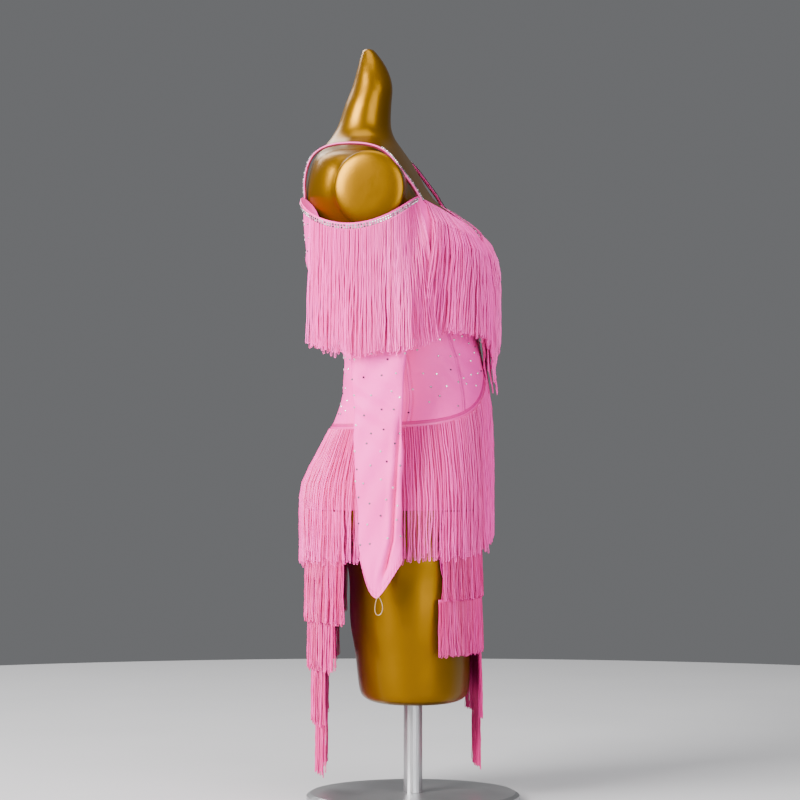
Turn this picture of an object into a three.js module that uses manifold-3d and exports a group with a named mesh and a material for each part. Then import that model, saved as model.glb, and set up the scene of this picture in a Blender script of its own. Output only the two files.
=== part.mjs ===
// Fringed latin dance dress on a limbless dress form. Millimetres, +Z up, floor at z = 0.
// The wearer's front is -Y and the wearer's right is -X. Each mesh is one closed solid.
// The bodice, briefs, tails and sleeves are thin cloth walls. Each row of fringe is a plain
// wall of the space that its threads reach. The form stands on a short pole and a round base.
import * as THREE from "three";
import Module from "manifold-3d";
import { mergeVertices } from "three/addons/utils/BufferGeometryUtils.js";

const wasm = await Module();
wasm.setup();

const { Vector3 } = THREE;
const { abs, atan2, cos, exp, hypot, max, min, PI, pow, sign, sin } = Math;
const degrees = (value) => (value * PI) / 180;
const mix = (a, b, t) => a + (b - a) * t;
const clamp01 = (t) => min(1, max(0, t));
const smooth = (t) => clamp01(t) ** 2 * (3 - 2 * clamp01(t));

// ---------------------------------------------------------------- driving dimensions

const SEAM_GAP = 0.3;
const CLOTH = { inner: 3.4, outer: 4.9, half: 0.75 }; // distances out from the form, and half a wall
const TRIM = { inner: 5.9, outer: 7.4, below: 2, width: 7 }; // two rows of stones under the edge
const FRINGE = { inner: 8.2, outer: 11.2, start: 11 }; // a curtain that starts under the trim

// The shoulders are turned to the wearer's right and the hips are square.
const TWIST = { angle: degrees(10), from: 560, to: 800 };

// Level sections of the form: how far it reaches back and forward, its half width, and the
// power of the rounded outline (2 is an ellipse, more is boxier).
const FORM_SECTIONS = [
  // height, back, front, half width, power
  [154, -50, 90, 128, 2.3],
  [158, -58, 98, 139, 2.3],
  [172, -63, 102, 143, 2.3],
  [225, -69, 103, 148, 2.3],
  [270, -76, 104, 152, 2.3],
  [340, -78, 107, 153, 2.4],
  [365, -86, 109, 155, 2.4],
  [390, -106, 112, 157, 2.4],
  [420, -132, 119, 160, 2.4],
  [450, -141, 125, 161, 2.4],
  [484, -136, 126, 157, 2.4],
  [508, -125, 126, 152, 2.4],
  [537, -111, 127, 144, 2.4],
  [560, -100, 128, 137, 2.4],
  [600, -86, 127, 120, 2.4],
  [642, -82, 122, 110, 2.4],
  [660, -81, 119, 109, 2.4],
  [700, -94, 112, 114, 2.4],
  [740, -109, 112, 123, 2.5],
  [775, -123, 119, 132, 2.6],
  [790, -130, 125, 135, 2.7],
  [807, -135, 128, 138, 2.8],
  [820, -134, 127, 140, 2.8],
  [834, -135, 121, 142, 2.8],
  [848, -136, 111, 146, 2.8],
  [860, -136, 97, 150, 2.8],
  [872, -136, 82, 154, 2.8],
  [885, -136, 66, 158, 2.7],
  [900, -136, 47, 160, 2.6],
  [920, -133, 32, 160, 2.5],
  [940, -129, 21, 156, 2.4],
  [958, -123, 11, 142, 2.4],
  [970, -117, 4, 112, 2.3],
  [980, -114, -2, 76, 2.2],
  [992, -106, -10, 52, 2.2],
  [1010, -96, -16, 43, 2.1],
  [1045, -84, -15, 38, 2],
  [1070, -74, -13, 32, 2],
  [1095, -67, -20, 25, 2],
  [1115, -62, -32, 16, 2],
  [1129, -58, -44, 7, 2],
];
const FORM_COLUMNS = 30;
const GRIP = { from: 700, to: 890, depth: 1.5 }; // the form is a little slimmer where the bodice grips

// The hollow between the two halves of the bust.
const BUST_HOLLOW = { height: 822, above: 34, below: 44, depth: 11, halfWidth: 24 };

// Flat ends of the shoulders, where the form has no arms.
const SHOULDER = { height: 907, halfDepth: 52, halfHeight: 55, root: 96, rootScale: 0.72, face: 163 };
const SHOULDER_FORWARD = { right: -18, left: -44 }; // the left shoulder is held further back
const CAP = { thickness: 4, dome: 5 };
const SHOULDER_SIDES = 24;

// Edges of the bodice. Angles go round the form from the centre front to the wearer's side.
const FRONT_PEAK = { angle: degrees(33.6), height: 897 };
const BACK_PEAK = { angle: degrees(142), height: 900 };
const NECKLINE_POINT = 810; // the bottom of the V
const BACK_EDGE_DIP = 16;
const UNDERARM = 795;
const HIP_SEAM = { side: 560, rise: 95, spread: degrees(37), power: 1.25 };
const BRIEF_HEM = 440;

// Upright lines round the body, in degrees from the centre front, from seam to seam. Panels,
// bindings and fringe share them, so that they lie on each other with no gap or overlap.
const CENTRE_LINES = [0, 1.5, 5, 10, 16, 23, 30, 33.6, 39, 45, 52];
const SIDE_LINES = [52, 60, 70, 80, 92];
const BACK_LINES = [92, 104, 116, 125, 134, 142, 154, 167, 180];
const ARMHOLE_LINES = [142, 134, 125, 116, 104, 92, 80, 70, 60, 52, 45, 39, 33.6];

const STRAP = { width: 6, thickness: 1.6, clearance: 2.2 };

// A sleeve is an empty tube, flattened from side to side, that hangs from the armhole. Its top
// edge bows out round the end of the shoulder.
const SLEEVE_EDGE = { reach: 99, low: 854, power: 2.6 };
const SLEEVE_RINGS = [
  // height, forward of the middle, half width, half thickness, distance to the wearer's side
  [720, 0, 47, 9, 182],
  [657, -1, 38.5, 7.5, 184],
  [590, -1, 36, 7, 185],
  [500, 0, 34, 7, 185.5],
  [420, 2, 32, 7, 185.5],
];
const CUFF = { forward: 4, halfWidth: 29.5, halfThickness: 6.5, right: 185.5, edge: 365, point: 50 };
const CUFF_TIP_AT = -0.12; // along the cuff's half width, towards the back
const SLEEVE_SIDES = 24;
const FUNNEL_BULGE = 16; // the sleeve swells over the bust and the shoulder blade
const SLEEVE_EDGE_TURNS = { trim: [1, 11], fringe: [3, 11] }; // of the sides, from the front peak
const FINGER_LOOP = { halfWidth: 7.5, drop: 26, radius: 1.1 };

const BUST_FRINGE_HEM = [
  // angle in degrees from the centre front, height of the fringe's ends
  [0, 658],
  [5, 672],
  [12, 689],
  [22, 699],
  [38, 699],
];
const SLEEVE_FRINGE_HEM = { ends: 684, middle: 665 };
const HIP_FRINGE_HEM = { front: 402, side: 350, back: 346, spread: degrees(24) };

// The cloth that carries the lower rows, as a curve in plan at each height, and its rows of
// fringe, which fall straight from where they are sewn.
const TAIL_MIDDLE = -8;
const FRONT_TAIL = {
  facing: 1,
  levels: [
    // height, reach, half width, the two edges in degrees from the middle
    [437.5, 129.5, 165.5, -63, 63],
    [388, 116.5, 165.5, -63, 63],
    [340, 115.8, 164, -60, 60],
    [305, 115.4, 162, -52, 46],
    [275, 115, 160.5, -44, 32],
    [250, 114.6, 159, -34, 16],
    [230, 114.3, 158, -24, 4],
  ],
  rows: [
    // top, hem, inner and outer distance from the tail cloth, the two edges in degrees
    [385, 308, 2.8, 5.6, -62, 62],
    [307.4, 226, 3.6, 6.8, -65, 65],
    [225.4, 126, 4, 7, -36, 14],
    [238, 47, 1.8, 3.4, -22, 2],
  ],
};
const BACK_TAIL = {
  facing: -1,
  levels: [
    [437.5, 145.5, 165.5, -61, 61],
    [403, 137.5, 163, -58, 58],
    [370, 133.5, 158, -52, 52],
    [335, 130, 152, -45, 45],
    [300, 127, 142, -39, 39],
    [265, 124.3, 131, -34, 34],
    [238, 122.5, 123, -30, 30],
  ],
  rows: [
    [403, 270, 3.2, 6.2, -58, 58],
    [380, 199, 2, 4.2, -51, 51],
    [325, 119, 1.6, 5, -37, 37],
    [245, 42, 1.6, 5, -30.5, 30.5],
  ],
};
const TAIL_POWER = 2.4;

const STAND = { forward: 18, baseRadius: 160, baseHeight: 12, poleRadius: 14, collarRadius: 34 };

// ---------------------------------------------------------------- colours

const material = (color, roughness, metalness = 0) =>
  new THREE.MeshStandardMaterial({ color, roughness, metalness });
const gold = () => material(0xb5860b, 0.25, 0.6);
const steel = () => material(0x9a9c9e, 0.35, 0.9);
const jersey = () => material(0xf48fbf, 0.5);
const rayon = () => material(0xf3a0c9, 0.45);
const stones = () => material(0xf2eef4, 0.15, 0.3);
const binding = () => material(0xd8338a, 0.45);
const elastic = () => material(0xe9d9d6, 0.4);

// ---------------------------------------------------------------- the shape of the form

// One column of a table at a height, smoothly between its rows.
function column(table, height, index) {
  const rising = table[0][0] < table[table.length - 1][0];
  const rows = rising ? table : [...table].reverse();
  const last = rows.length - 1;
  if (height <= rows[0][0]) return rows[0][index];
  if (height >= rows[last][0]) return rows[last][index];
  const i = rows.findIndex((row) => row[0] > height) - 1;
  const slope = (k) => {
    const a = rows[max(0, k - 1)];
    const b = rows[min(last, k + 1)];
    return (b[index] - a[index]) / (b[0] - a[0]);
  };
  const step = rows[i + 1][0] - rows[i][0];
  const t = (height - rows[i][0]) / step;
  const t2 = t * t;
  const t3 = t2 * t;
  return (
    (2 * t3 - 3 * t2 + 1) * rows[i][index] +
    (t3 - 2 * t2 + t) * step * slope(i) +
    (3 * t2 - 2 * t3) * rows[i + 1][index] +
    (t3 - t2) * step * slope(i + 1)
  );
}

// A point given by how far it is forward, to the wearer's right and up.
const place = (forward, right, up) => new Vector3(-right, -forward, up);

// Turns a point of the straight body to where the twist takes it.
const twistAt = (up) => TWIST.angle * smooth((up - TWIST.from) / (TWIST.to - TWIST.from));
function twisted(forward, right, up, turn = twistAt(up)) {
  return place(
    forward * cos(turn) - right * sin(turn),
    right * cos(turn) + forward * sin(turn),
    up,
  );
}

// The reverse, above the twist: how far a point is forward and to the right of the shoulders.
function untwisted(point) {
  const flat = point.clone().applyAxisAngle(new Vector3(0, 0, 1), TWIST.angle);
  return { forward: -flat.y, right: -flat.x, up: flat.z };
}

// The form's surface before the twist, as [forward, right, up].
function formPoint(angle, height) {
  const back = column(FORM_SECTIONS, height, 1);
  const front = column(FORM_SECTIONS, height, 2);
  const halfWidth = column(FORM_SECTIONS, height, 3);
  const bend = 2 / column(FORM_SECTIONS, height, 4);
  const ahead = sign(cos(angle)) * pow(abs(cos(angle)), bend);
  const right = halfWidth * sign(sin(angle)) * pow(abs(sin(angle)), bend);
  let forward = (front + back) / 2 + ((front - back) / 2) * ahead;
  if (ahead > 0) {
    const { height: middle, above, below, depth, halfWidth: spread } = BUST_HOLLOW;
    const rise = (height - middle) / (height > middle ? above : below);
    forward -= depth * exp(-rise * rise) * exp(-((right / spread) ** 2));
  }
  return [forward, right, height];
}

// A point that stands off the form's surface by a distance, square to it.
function skin(angle, height, offset) {
  const [forward, right, up] = formPoint(angle, height);
  const along = formPoint(angle + 0.02, height).map((v, i) => v - formPoint(angle - 0.02, height)[i]);
  const rise = formPoint(angle, height + 2).map((v, i) => v - formPoint(angle, height - 2)[i]);
  const normal = [
    along[1] * rise[2] - along[2] * rise[1],
    along[2] * rise[0] - along[0] * rise[2],
    along[0] * rise[1] - along[1] * rise[0],
  ];
  const scale = offset / hypot(...normal);
  return twisted(forward + normal[0] * scale, right + normal[1] * scale, up + normal[2] * scale, twistAt(up));
}

// A curtain that hangs from the height `top`: it lies on the body down to the widest place
// and falls straight from there.
function curtain(angle, top, height, offset) {
  const middle = (column(FORM_SECTIONS, height, 1) + column(FORM_SECTIONS, height, 2)) / 2;
  let widest = height;
  let reach = -Infinity;
  for (let z = height; z <= top; z += 4) {
    const [forward, right] = formPoint(angle, z);
    const out = hypot(forward - middle, right);
    if (out > reach) [reach, widest] = [out, z];
  }
  const point = skin(angle, widest, offset);
  if (widest > height) point.z = min(point.z, height);
  return point;
}

// ---------------------------------------------------------------- edges of the cloth

const unsigned = (angle) => abs(atan2(sin(angle), cos(angle)));

// Height of the bodice's upper edge: the V, the armholes and the back edge.
function upperEdge(angle) {
  const a = unsigned(angle);
  if (a < FRONT_PEAK.angle) {
    return mix(NECKLINE_POINT, FRONT_PEAK.height, pow(a / FRONT_PEAK.angle, 0.38));
  }
  if (a < PI / 2) {
    const t = (PI / 2 - a) / (PI / 2 - FRONT_PEAK.angle);
    return mix(UNDERARM, FRONT_PEAK.height, pow(t, 1.7));
  }
  if (a < BACK_PEAK.angle) {
    const t = (a - PI / 2) / (BACK_PEAK.angle - PI / 2);
    return mix(UNDERARM, BACK_PEAK.height, pow(t, 1.9));
  }
  const t = (PI - a) / (PI - BACK_PEAK.angle);
  return BACK_PEAK.height - BACK_EDGE_DIP * (1 - t * t);
}

const hipSeam = (angle) =>
  HIP_SEAM.side + HIP_SEAM.rise * exp(-pow(unsigned(angle) / HIP_SEAM.spread, HIP_SEAM.power));

// ---------------------------------------------------------------- solids

// Faces of a closed mesh, turned to point outwards, as a geometry.
function solid(positions, faces) {
  let volume = 0;
  const [a, b, c] = [new Vector3(), new Vector3(), new Vector3()];
  for (const [i, j, k] of faces) {
    a.fromArray(positions, i * 3);
    b.fromArray(positions, j * 3);
    c.fromArray(positions, k * 3);
    volume += a.dot(b.cross(c)) / 6;
  }
  const outward = volume > 0 ? faces : faces.map(([i, j, k]) => [i, k, j]);
  const geometry = new THREE.BufferGeometry();
  geometry.setAttribute("position", new THREE.Float32BufferAttribute(positions, 3));
  geometry.setIndex(outward.flat());
  return geometry;
}

// A wall: point(u, v, side) is on its inner face at side 0 and on its outer face at side 1.
// The wall is a patch, or a tube where `round` is true.
function wall(columns, rows, point, round = false) {
  const across = round ? columns : columns + 1;
  const positions = [];
  for (let side = 0; side < 2; side++) {
    for (let j = 0; j <= rows; j++) {
      for (let i = 0; i < across; i++) {
        positions.push(...point(i / columns, j / rows, side).toArray());
      }
    }
  }
  const at = (i, j, side) => (side * (rows + 1) + j) * across + (i % across);
  const faces = [];
  const quad = (a, b, c, d) => faces.push([a, b, c], [a, c, d]);
  for (let j = 0; j < rows; j++) {
    for (let i = 0; i < columns; i++) {
      quad(at(i, j, 1), at(i + 1, j, 1), at(i + 1, j + 1, 1), at(i, j + 1, 1));
      quad(at(i, j, 0), at(i, j + 1, 0), at(i + 1, j + 1, 0), at(i + 1, j, 0));
    }
  }
  for (let i = 0; i < columns; i++) {
    quad(at(i, 0, 0), at(i + 1, 0, 0), at(i + 1, 0, 1), at(i, 0, 1));
    quad(at(i, rows, 0), at(i, rows, 1), at(i + 1, rows, 1), at(i + 1, rows, 0));
  }
  if (!round) {
    for (let j = 0; j < rows; j++) {
      quad(at(0, j, 0), at(0, j, 1), at(0, j + 1, 1), at(0, j + 1, 0));
      quad(at(columns, j, 0), at(columns, j + 1, 0), at(columns, j + 1, 1), at(columns, j, 1));
    }
  }
  return solid(positions, faces);
}

// Stacked rings of points, closed by a fan at each end.
function stack(rings) {
  const sides = rings[0].length;
  const positions = rings.flat().flatMap((p) => p.toArray());
  const middle = (ring) => ring.reduce((sum, p) => sum.add(p), new Vector3()).divideScalar(sides);
  positions.push(...middle(rings[0]).toArray(), ...middle(rings[rings.length - 1]).toArray());
  const [bottom, top] = [rings.length * sides, rings.length * sides + 1];
  const faces = [];
  for (let i = 0; i < sides; i++) {
    const next = (i + 1) % sides;
    for (let j = 0; j < rings.length - 1; j++) {
      const low = j * sides;
      const high = low + sides;
      faces.push([low + i, low + next, high + next], [low + i, high + next, high + i]);
    }
    const last = (rings.length - 1) * sides;
    faces.push([bottom, next, i], [top, last + i, last + next]);
  }
  return solid(positions, faces);
}

function toManifold(geometry) {
  const bare = new THREE.BufferGeometry();
  bare.setAttribute("position", geometry.getAttribute("position"));
  bare.setIndex(geometry.getIndex());
  const merged = mergeVertices(bare, 1e-4);
  return new wasm.Manifold(
    new wasm.Mesh({
      numProp: 3,
      vertProperties: Float32Array.from(merged.getAttribute("position").array),
      triVerts: Uint32Array.from(merged.getIndex().array),
    }),
  );
}

function fromManifold(body) {
  const { vertProperties, triVerts } = body.getMesh();
  const geometry = new THREE.BufferGeometry();
  geometry.setAttribute("position", new THREE.Float32BufferAttribute(vertProperties, 3));
  geometry.setIndex(Array.from(triVerts));
  return geometry;
}

const dress = new THREE.Group();
function add(name, geometry, finish) {
  const mesh = new THREE.Mesh(geometry, finish);
  mesh.name = name;
  dress.add(mesh);
}
const SIDES = [
  ["right", 1],
  ["left", -1],
];

// ---------------------------------------------------------------- the dress form and its stand

// An oval of the shoulder's outline, scaled, at a distance to one side.
function shoulderOval(side, right, scale) {
  const forward = side > 0 ? SHOULDER_FORWARD.right : SHOULDER_FORWARD.left;
  return Array.from({ length: SHOULDER_SIDES }, (_, i) => {
    const angle = (2 * PI * i) / SHOULDER_SIDES;
    return twisted(
      forward + SHOULDER.halfDepth * scale * cos(angle),
      side * right,
      SHOULDER.height + SHOULDER.halfHeight * scale * sin(angle),
      TWIST.angle,
    );
  });
}

function formBody() {
  const rings = FORM_SECTIONS.map(([height]) =>
    Array.from({ length: FORM_COLUMNS }, (_, i) => {
      const gripped = height > GRIP.from && height < GRIP.to;
      return skin((2 * PI * i) / FORM_COLUMNS, height, gripped ? -GRIP.depth : 0);
    }),
  );
  let body = toManifold(stack(rings));
  for (const [, side] of SIDES) {
    const stub = stack([
      shoulderOval(side, SHOULDER.root, SHOULDER.rootScale),
      shoulderOval(side, SHOULDER.face, 1),
    ]);
    body = body.add(toManifold(stub));
  }
  return fromManifold(body);
}

add("form_body", formBody(), gold());
for (const [name, side] of SIDES) {
  const inner = SHOULDER.face + SEAM_GAP;
  add(
    `form_shoulder_cap_${name}`,
    stack([
      shoulderOval(side, inner, 0.985),
      shoulderOval(side, inner + CAP.thickness, 0.985),
      shoulderOval(side, inner + CAP.dome, 0.9),
      shoulderOval(side, inner + CAP.dome + 1.2, 0.55),
    ]),
    gold(),
  );
}

function turned(profile, sides) {
  const points = profile.map(([radius, height]) => new THREE.Vector2(radius, height));
  const geometry = new THREE.LatheGeometry(points, sides);
  geometry.rotateX(PI / 2);
  geometry.translate(0, -STAND.forward, 0);
  geometry.deleteAttribute("normal");
  geometry.deleteAttribute("uv");
  return mergeVertices(geometry, 1e-3);
}

const formBottom = FORM_SECTIONS[0][0];
const { baseRadius, baseHeight, poleRadius, collarRadius } = STAND;
const collarHeight = 9;
const BASE_BEVEL = { down: 4, inwards: 6 };
add(
  "form_base",
  turned(
    [
      [0, 0],
      [baseRadius, 0],
      [baseRadius, baseHeight - BASE_BEVEL.down],
      [baseRadius - BASE_BEVEL.inwards, baseHeight],
      [0, baseHeight],
    ],
    40,
  ),
  steel(),
);
add(
  "form_pole",
  turned(
    [
      [0, baseHeight + SEAM_GAP],
      [poleRadius, baseHeight + SEAM_GAP],
      [poleRadius, formBottom - collarHeight - 2 * SEAM_GAP],
      [0, formBottom - collarHeight - 2 * SEAM_GAP],
    ],
    20,
  ),
  steel(),
);
add(
  "form_collar",
  turned(
    [
      [0, formBottom - collarHeight - SEAM_GAP],
      [collarRadius - 4, formBottom - collarHeight - SEAM_GAP],
      [collarRadius, formBottom - SEAM_GAP],
      [0, formBottom - SEAM_GAP],
    ],
    24,
  ),
  steel(),
);

// ---------------------------------------------------------------- the leotard body

const radians = (lines) => lines.map(degrees);
const mirrored = (lines) => [...lines.slice(1).reverse().map((line) => -line), ...lines];
const roundBack = (lines) => [...lines, ...lines.slice(0, -1).reverse().map((line) => 360 - line)];
const LINES = {
  frontCentre: radians(mirrored(CENTRE_LINES)),
  frontRight: radians(SIDE_LINES),
  frontLeft: radians([...SIDE_LINES].reverse().map((line) => -line)),
  front: radians(mirrored([...CENTRE_LINES, ...SIDE_LINES.slice(1)])),
  back: radians(roundBack(BACK_LINES)),
};

// A wall on the form between two edges, each a height at an angle. The upright lines at both
// ends are drawn in by half a seam's gap.
function panel(lines, rows, low, high, [inner, outer], crowding = 1, at = skin) {
  const trim = SEAM_GAP / 2 / 120;
  const last = lines.length - 1;
  return wall(last, rows, (u, v, side) => {
    const i = Math.round(u * last);
    const angle = lines[i] + (i === 0 ? trim : 0) - (i === last ? trim : 0);
    const height = mix(low(lines[i]), high(lines[i]), pow(v, crowding));
    return at(angle, height, side ? outer : inner, high(lines[i]));
  });
}

const CLOTH_WALL = [CLOTH.inner, CLOTH.outer];
const BODICE_ROWS = 11;
const BODICE_CROWDING = 0.8; // rows lie closer at the bust than at the waist
const aboveHipSeam = (angle) => hipSeam(angle) + SEAM_GAP;
const bodicePanel = (lines) =>
  panel(lines, BODICE_ROWS, aboveHipSeam, upperEdge, CLOTH_WALL, BODICE_CROWDING);
add("bodice_front_centre", bodicePanel(LINES.frontCentre), jersey());
add("bodice_front_side_right", bodicePanel(LINES.frontRight), jersey());
add("bodice_front_side_left", bodicePanel(LINES.frontLeft), jersey());
add("bodice_back", bodicePanel(LINES.back), jersey());

// Briefs from the hip seam down to the hem, which the fringe hides.
const briefPanel = (lines) => panel(lines, 4, () => BRIEF_HEM, hipSeam, CLOTH_WALL);
add("brief_front", briefPanel(LINES.front), jersey());
add("brief_back", briefPanel(LINES.back), jersey());

// ---------------------------------------------------------------- tails and their fringe

// Plan of a tail at a height, moved out by a distance.
function tailPoint(tail, degreesAcross, height, offset) {
  const reach = column(tail.levels, height, 1) + offset + tail.facing * -TAIL_MIDDLE;
  const halfWidth = column(tail.levels, height, 2) + offset;
  const angle = degrees(degreesAcross);
  const bend = 2 / TAIL_POWER;
  return place(
    TAIL_MIDDLE + tail.facing * reach * pow(cos(angle), bend),
    halfWidth * sign(sin(angle)) * pow(abs(sin(angle)), bend),
    height,
  );
}

function tailCloth(tail) {
  const { levels } = tail;
  const steps = levels.length - 1;
  return wall(10, steps, (u, v, side) => {
    const [height, , , left, right] = levels[Math.round(v * steps)];
    return tailPoint(tail, mix(left, right, u), height, side ? CLOTH.half : -CLOTH.half);
  });
}

function tailRow(tail, [top, hem, inner, outer, left, right]) {
  const columns = Math.ceil((right - left) / 14);
  return wall(columns, 1, (u, v, side) => {
    const point = tailPoint(tail, mix(left, right, u), top, side ? outer : inner);
    point.z = mix(hem, top, v);
    return point;
  });
}

add("tail_front", tailCloth(FRONT_TAIL), jersey());
add("tail_back", tailCloth(BACK_TAIL), jersey());
FRONT_TAIL.rows.forEach((row, i) => add(`fringe_front_row_${i + 2}`, tailRow(FRONT_TAIL, row), rayon()));
BACK_TAIL.rows.forEach((row, i) => add(`fringe_back_row_${i + 2}`, tailRow(BACK_TAIL, row), rayon()));

// ---------------------------------------------------------------- hip binding and first row

const BINDING_HALF = 4;
const hipBinding = (lines) =>
  panel(
    lines,
    1,
    (angle) => hipSeam(angle) - BINDING_HALF,
    (angle) => hipSeam(angle) + BINDING_HALF,
    [TRIM.inner, TRIM.outer],
  );
add("hip_binding_front", hipBinding(LINES.front), binding());
add("hip_binding_back", hipBinding(LINES.back), binding());

function hipFringeHem(angle) {
  const a = unsigned(angle);
  const { front, side, back, spread } = HIP_FRINGE_HEM;
  return mix(side, back, smooth(a / PI)) + (front - side) * exp(-((a / spread) ** 2));
}

const hang = (angle, height, offset, top) => curtain(angle, top, height, offset);
const FRINGE_WALL = [FRINGE.inner, FRINGE.outer];
const hipFringe = (lines) =>
  panel(lines, 5, hipFringeHem, (angle) => hipSeam(angle) - BINDING_HALF - 1, FRINGE_WALL, 1, hang);
add("fringe_hip_front", hipFringe(LINES.front), rayon());
add("fringe_hip_back", hipFringe(LINES.back), rayon());

// ---------------------------------------------------------------- neckline

// The trim and fringe of the V, from the centre front to the peak.
const NECKLINE_LINES = [0, 1.5, 5, 10, 16, 23, 30, 33];
function necklineLines(side) {
  const lines = NECKLINE_LINES.map((line) => side * degrees(line));
  return side > 0 ? lines : lines.reverse();
}

const necklineTrim = (side) =>
  panel(
    necklineLines(side),
    1,
    (angle) => upperEdge(angle) - TRIM.below - TRIM.width,
    (angle) => upperEdge(angle) - TRIM.below,
    [TRIM.inner, TRIM.outer],
  );

const bustFringeHem = (angle) => column(BUST_FRINGE_HEM, (unsigned(angle) * 180) / PI, 1);
const bustFringe = (side) =>
  panel(
    necklineLines(side),
    7,
    bustFringeHem,
    (angle) => upperEdge(angle) - FRINGE.start,
    FRINGE_WALL,
    0.7,
    hang,
  );

// ---------------------------------------------------------------- sleeves

// The top of a sleeve as a loop: from the front peak round the outside to the back peak, then
// back along the armhole seam. `turn` goes from 0 to 1 round the loop.
function sleeveTop(side, turn) {
  const lap = CLOTH.outer + SEAM_GAP + 2.6; // the sleeve is lapped on the bodice
  const from = skin(side * FRONT_PEAK.angle, FRONT_PEAK.height - 3, lap);
  const to = skin(side * BACK_PEAK.angle, BACK_PEAK.height - 3, lap);
  if (turn > 0.5) {
    const last = ARMHOLE_LINES.length - 1;
    const t = (turn - 0.5) * 2 * last;
    const line = min(last - 1, Math.floor(t + 1e-6));
    const angle = degrees(mix(ARMHOLE_LINES[line], ARMHOLE_LINES[line + 1], t - line));
    return skin(side * angle, upperEdge(angle) - 3, lap);
  }
  const t = turn * 2;
  const along = new Vector3().lerpVectors(from, to, (1 - cos(PI * t)) / 2);
  const bow = pow(1 - pow(abs(cos(PI * t)), SLEEVE_EDGE.power), 1 / SLEEVE_EDGE.power);
  const out = twisted(0, side * SLEEVE_EDGE.reach * bow, 0, TWIST.angle);
  const dip = (mix(from.z, to.z, t) - SLEEVE_EDGE.low) * pow(sin(PI * t), 1.5);
  return along.add(out).add(new Vector3(0, 0, -dip));
}

function sleeveRing(side, turn, [height, forward, halfWidth, halfThickness, right]) {
  const angle = 2 * PI * turn;
  return twisted(
    forward + halfWidth * sign(cos(angle)) * pow(abs(cos(angle)), 0.9),
    side * (right + halfThickness * sign(sin(angle)) * pow(abs(sin(angle)), 0.8)),
    height,
    TWIST.angle,
  );
}

// Height of the cuff's edge. The side away from the body comes down to a point over the hand.
function cuffEdge(turn) {
  if (turn > 0.5) return CUFF.edge;
  const across = cos(2 * PI * turn);
  const t = across > CUFF_TIP_AT
    ? (across - CUFF_TIP_AT) / (1 - CUFF_TIP_AT)
    : (CUFF_TIP_AT - across) / (1 + CUFF_TIP_AT);
  const fall = across > CUFF_TIP_AT ? 1 - t : 1 - pow(t, 2.1);
  return CUFF.edge - CUFF.point * fall;
}

// The middle of the sleeve's cloth. `down` counts rows from the top edge.
const SLEEVE_FUNNEL_ROWS = 3;
const SLEEVE_ROWS = SLEEVE_FUNNEL_ROWS + SLEEVE_RINGS.length + 1;
function sleeveMiddle(side, turn, down) {
  if (down < SLEEVE_FUNNEL_ROWS) {
    const t = down / SLEEVE_FUNNEL_ROWS;
    const ring = sleeveRing(side, turn, SLEEVE_RINGS[0]);
    const top = sleeveTop(side, turn);
    const point = new Vector3().lerpVectors(top, ring, t);
    // the outer side hangs from the edge before it narrows, and the inner side leaves the body
    const outer = pow(max(0, sin(2 * PI * turn)), 0.6);
    const spread = new Vector3().lerpVectors(top, ring, pow(t, 0.5 + 0.85 * outer));
    const away = new Vector3(top.x, top.y, 0).normalize();
    const nearPeaks = (1 - outer) * abs(cos(2 * PI * turn));
    spread.addScaledVector(away, FUNNEL_BULGE * nearPeaks * sin(PI * pow(t, 0.6)));
    point.x = spread.x;
    point.y = spread.y;
    return point;
  }
  const index = Math.floor(down - SLEEVE_FUNNEL_ROWS);
  if (index < SLEEVE_RINGS.length) return sleeveRing(side, turn, SLEEVE_RINGS[index]);
  const { forward, halfWidth, halfThickness, right } = CUFF;
  return sleeveRing(side, turn, [cuffEdge(turn), forward, halfWidth, halfThickness, right]);
}

// A point of the sleeve's wall: moved from the middle of the cloth, square to it.
function sleevePoint(side, turn, down, offset) {
  const round = (t) => ((t % 1) + 1) % 1;
  const middle = sleeveMiddle(side, turn, down);
  const step = 1 / SLEEVE_SIDES;
  const ahead = sleeveMiddle(side, round(turn + step), down);
  const along = ahead.sub(sleeveMiddle(side, round(turn - step), down));
  const above = sleeveMiddle(side, turn, max(0, down - 1));
  const below = sleeveMiddle(side, turn, min(SLEEVE_ROWS - 1, down + 1));
  const normal = above.sub(below).cross(along).normalize().multiplyScalar(-side * offset);
  return middle.add(normal);
}

function sleeve(side) {
  const rows = SLEEVE_ROWS - 1;
  return wall(
    SLEEVE_SIDES,
    rows,
    (u, v, face) => sleevePoint(side, u, Math.round((1 - v) * rows), face ? CLOTH.half : -CLOTH.half),
    true,
  );
}

// A strip under the sleeve's top edge, between two of the sleeve's upright lines.
function sleeveStrip(side, [first, last], rows, drop, [inner, outer]) {
  const columns = last - first;
  return wall(columns, rows, (u, v, face) => {
    const turn = (first + Math.round(u * columns)) / SLEEVE_SIDES;
    const point = sleeveTop(side, turn);
    const along = sleeveTop(side, turn + 0.01).sub(sleeveTop(side, turn - 0.01));
    const out = new Vector3(along.y, -along.x, 0).normalize();
    if (out.dot(twisted(0, side, 0, TWIST.angle)) < 0) out.negate();
    point.addScaledVector(out, face ? outer : inner);
    const edge = untwisted(point);
    const height = drop(edge.up, v, u);
    const clear = SLEEVE_OUTSIDE + (face ? outer : inner);
    const hung = edge.up - height > 30 ? max(abs(edge.right), clear) : abs(edge.right);
    return twisted(edge.forward, side * hung, height, TWIST.angle);
  });
}

const SLEEVE_OUTSIDE = SLEEVE_RINGS[1][3] + SLEEVE_RINGS[1][4] + 1; // how far out its side reaches

const sleeveTrim = (side) =>
  sleeveStrip(
    side,
    SLEEVE_EDGE_TURNS.trim,
    1,
    (edge, v) => edge - TRIM.below - mix(TRIM.width, 0, v),
    [4.2, 5.7],
  );

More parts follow.
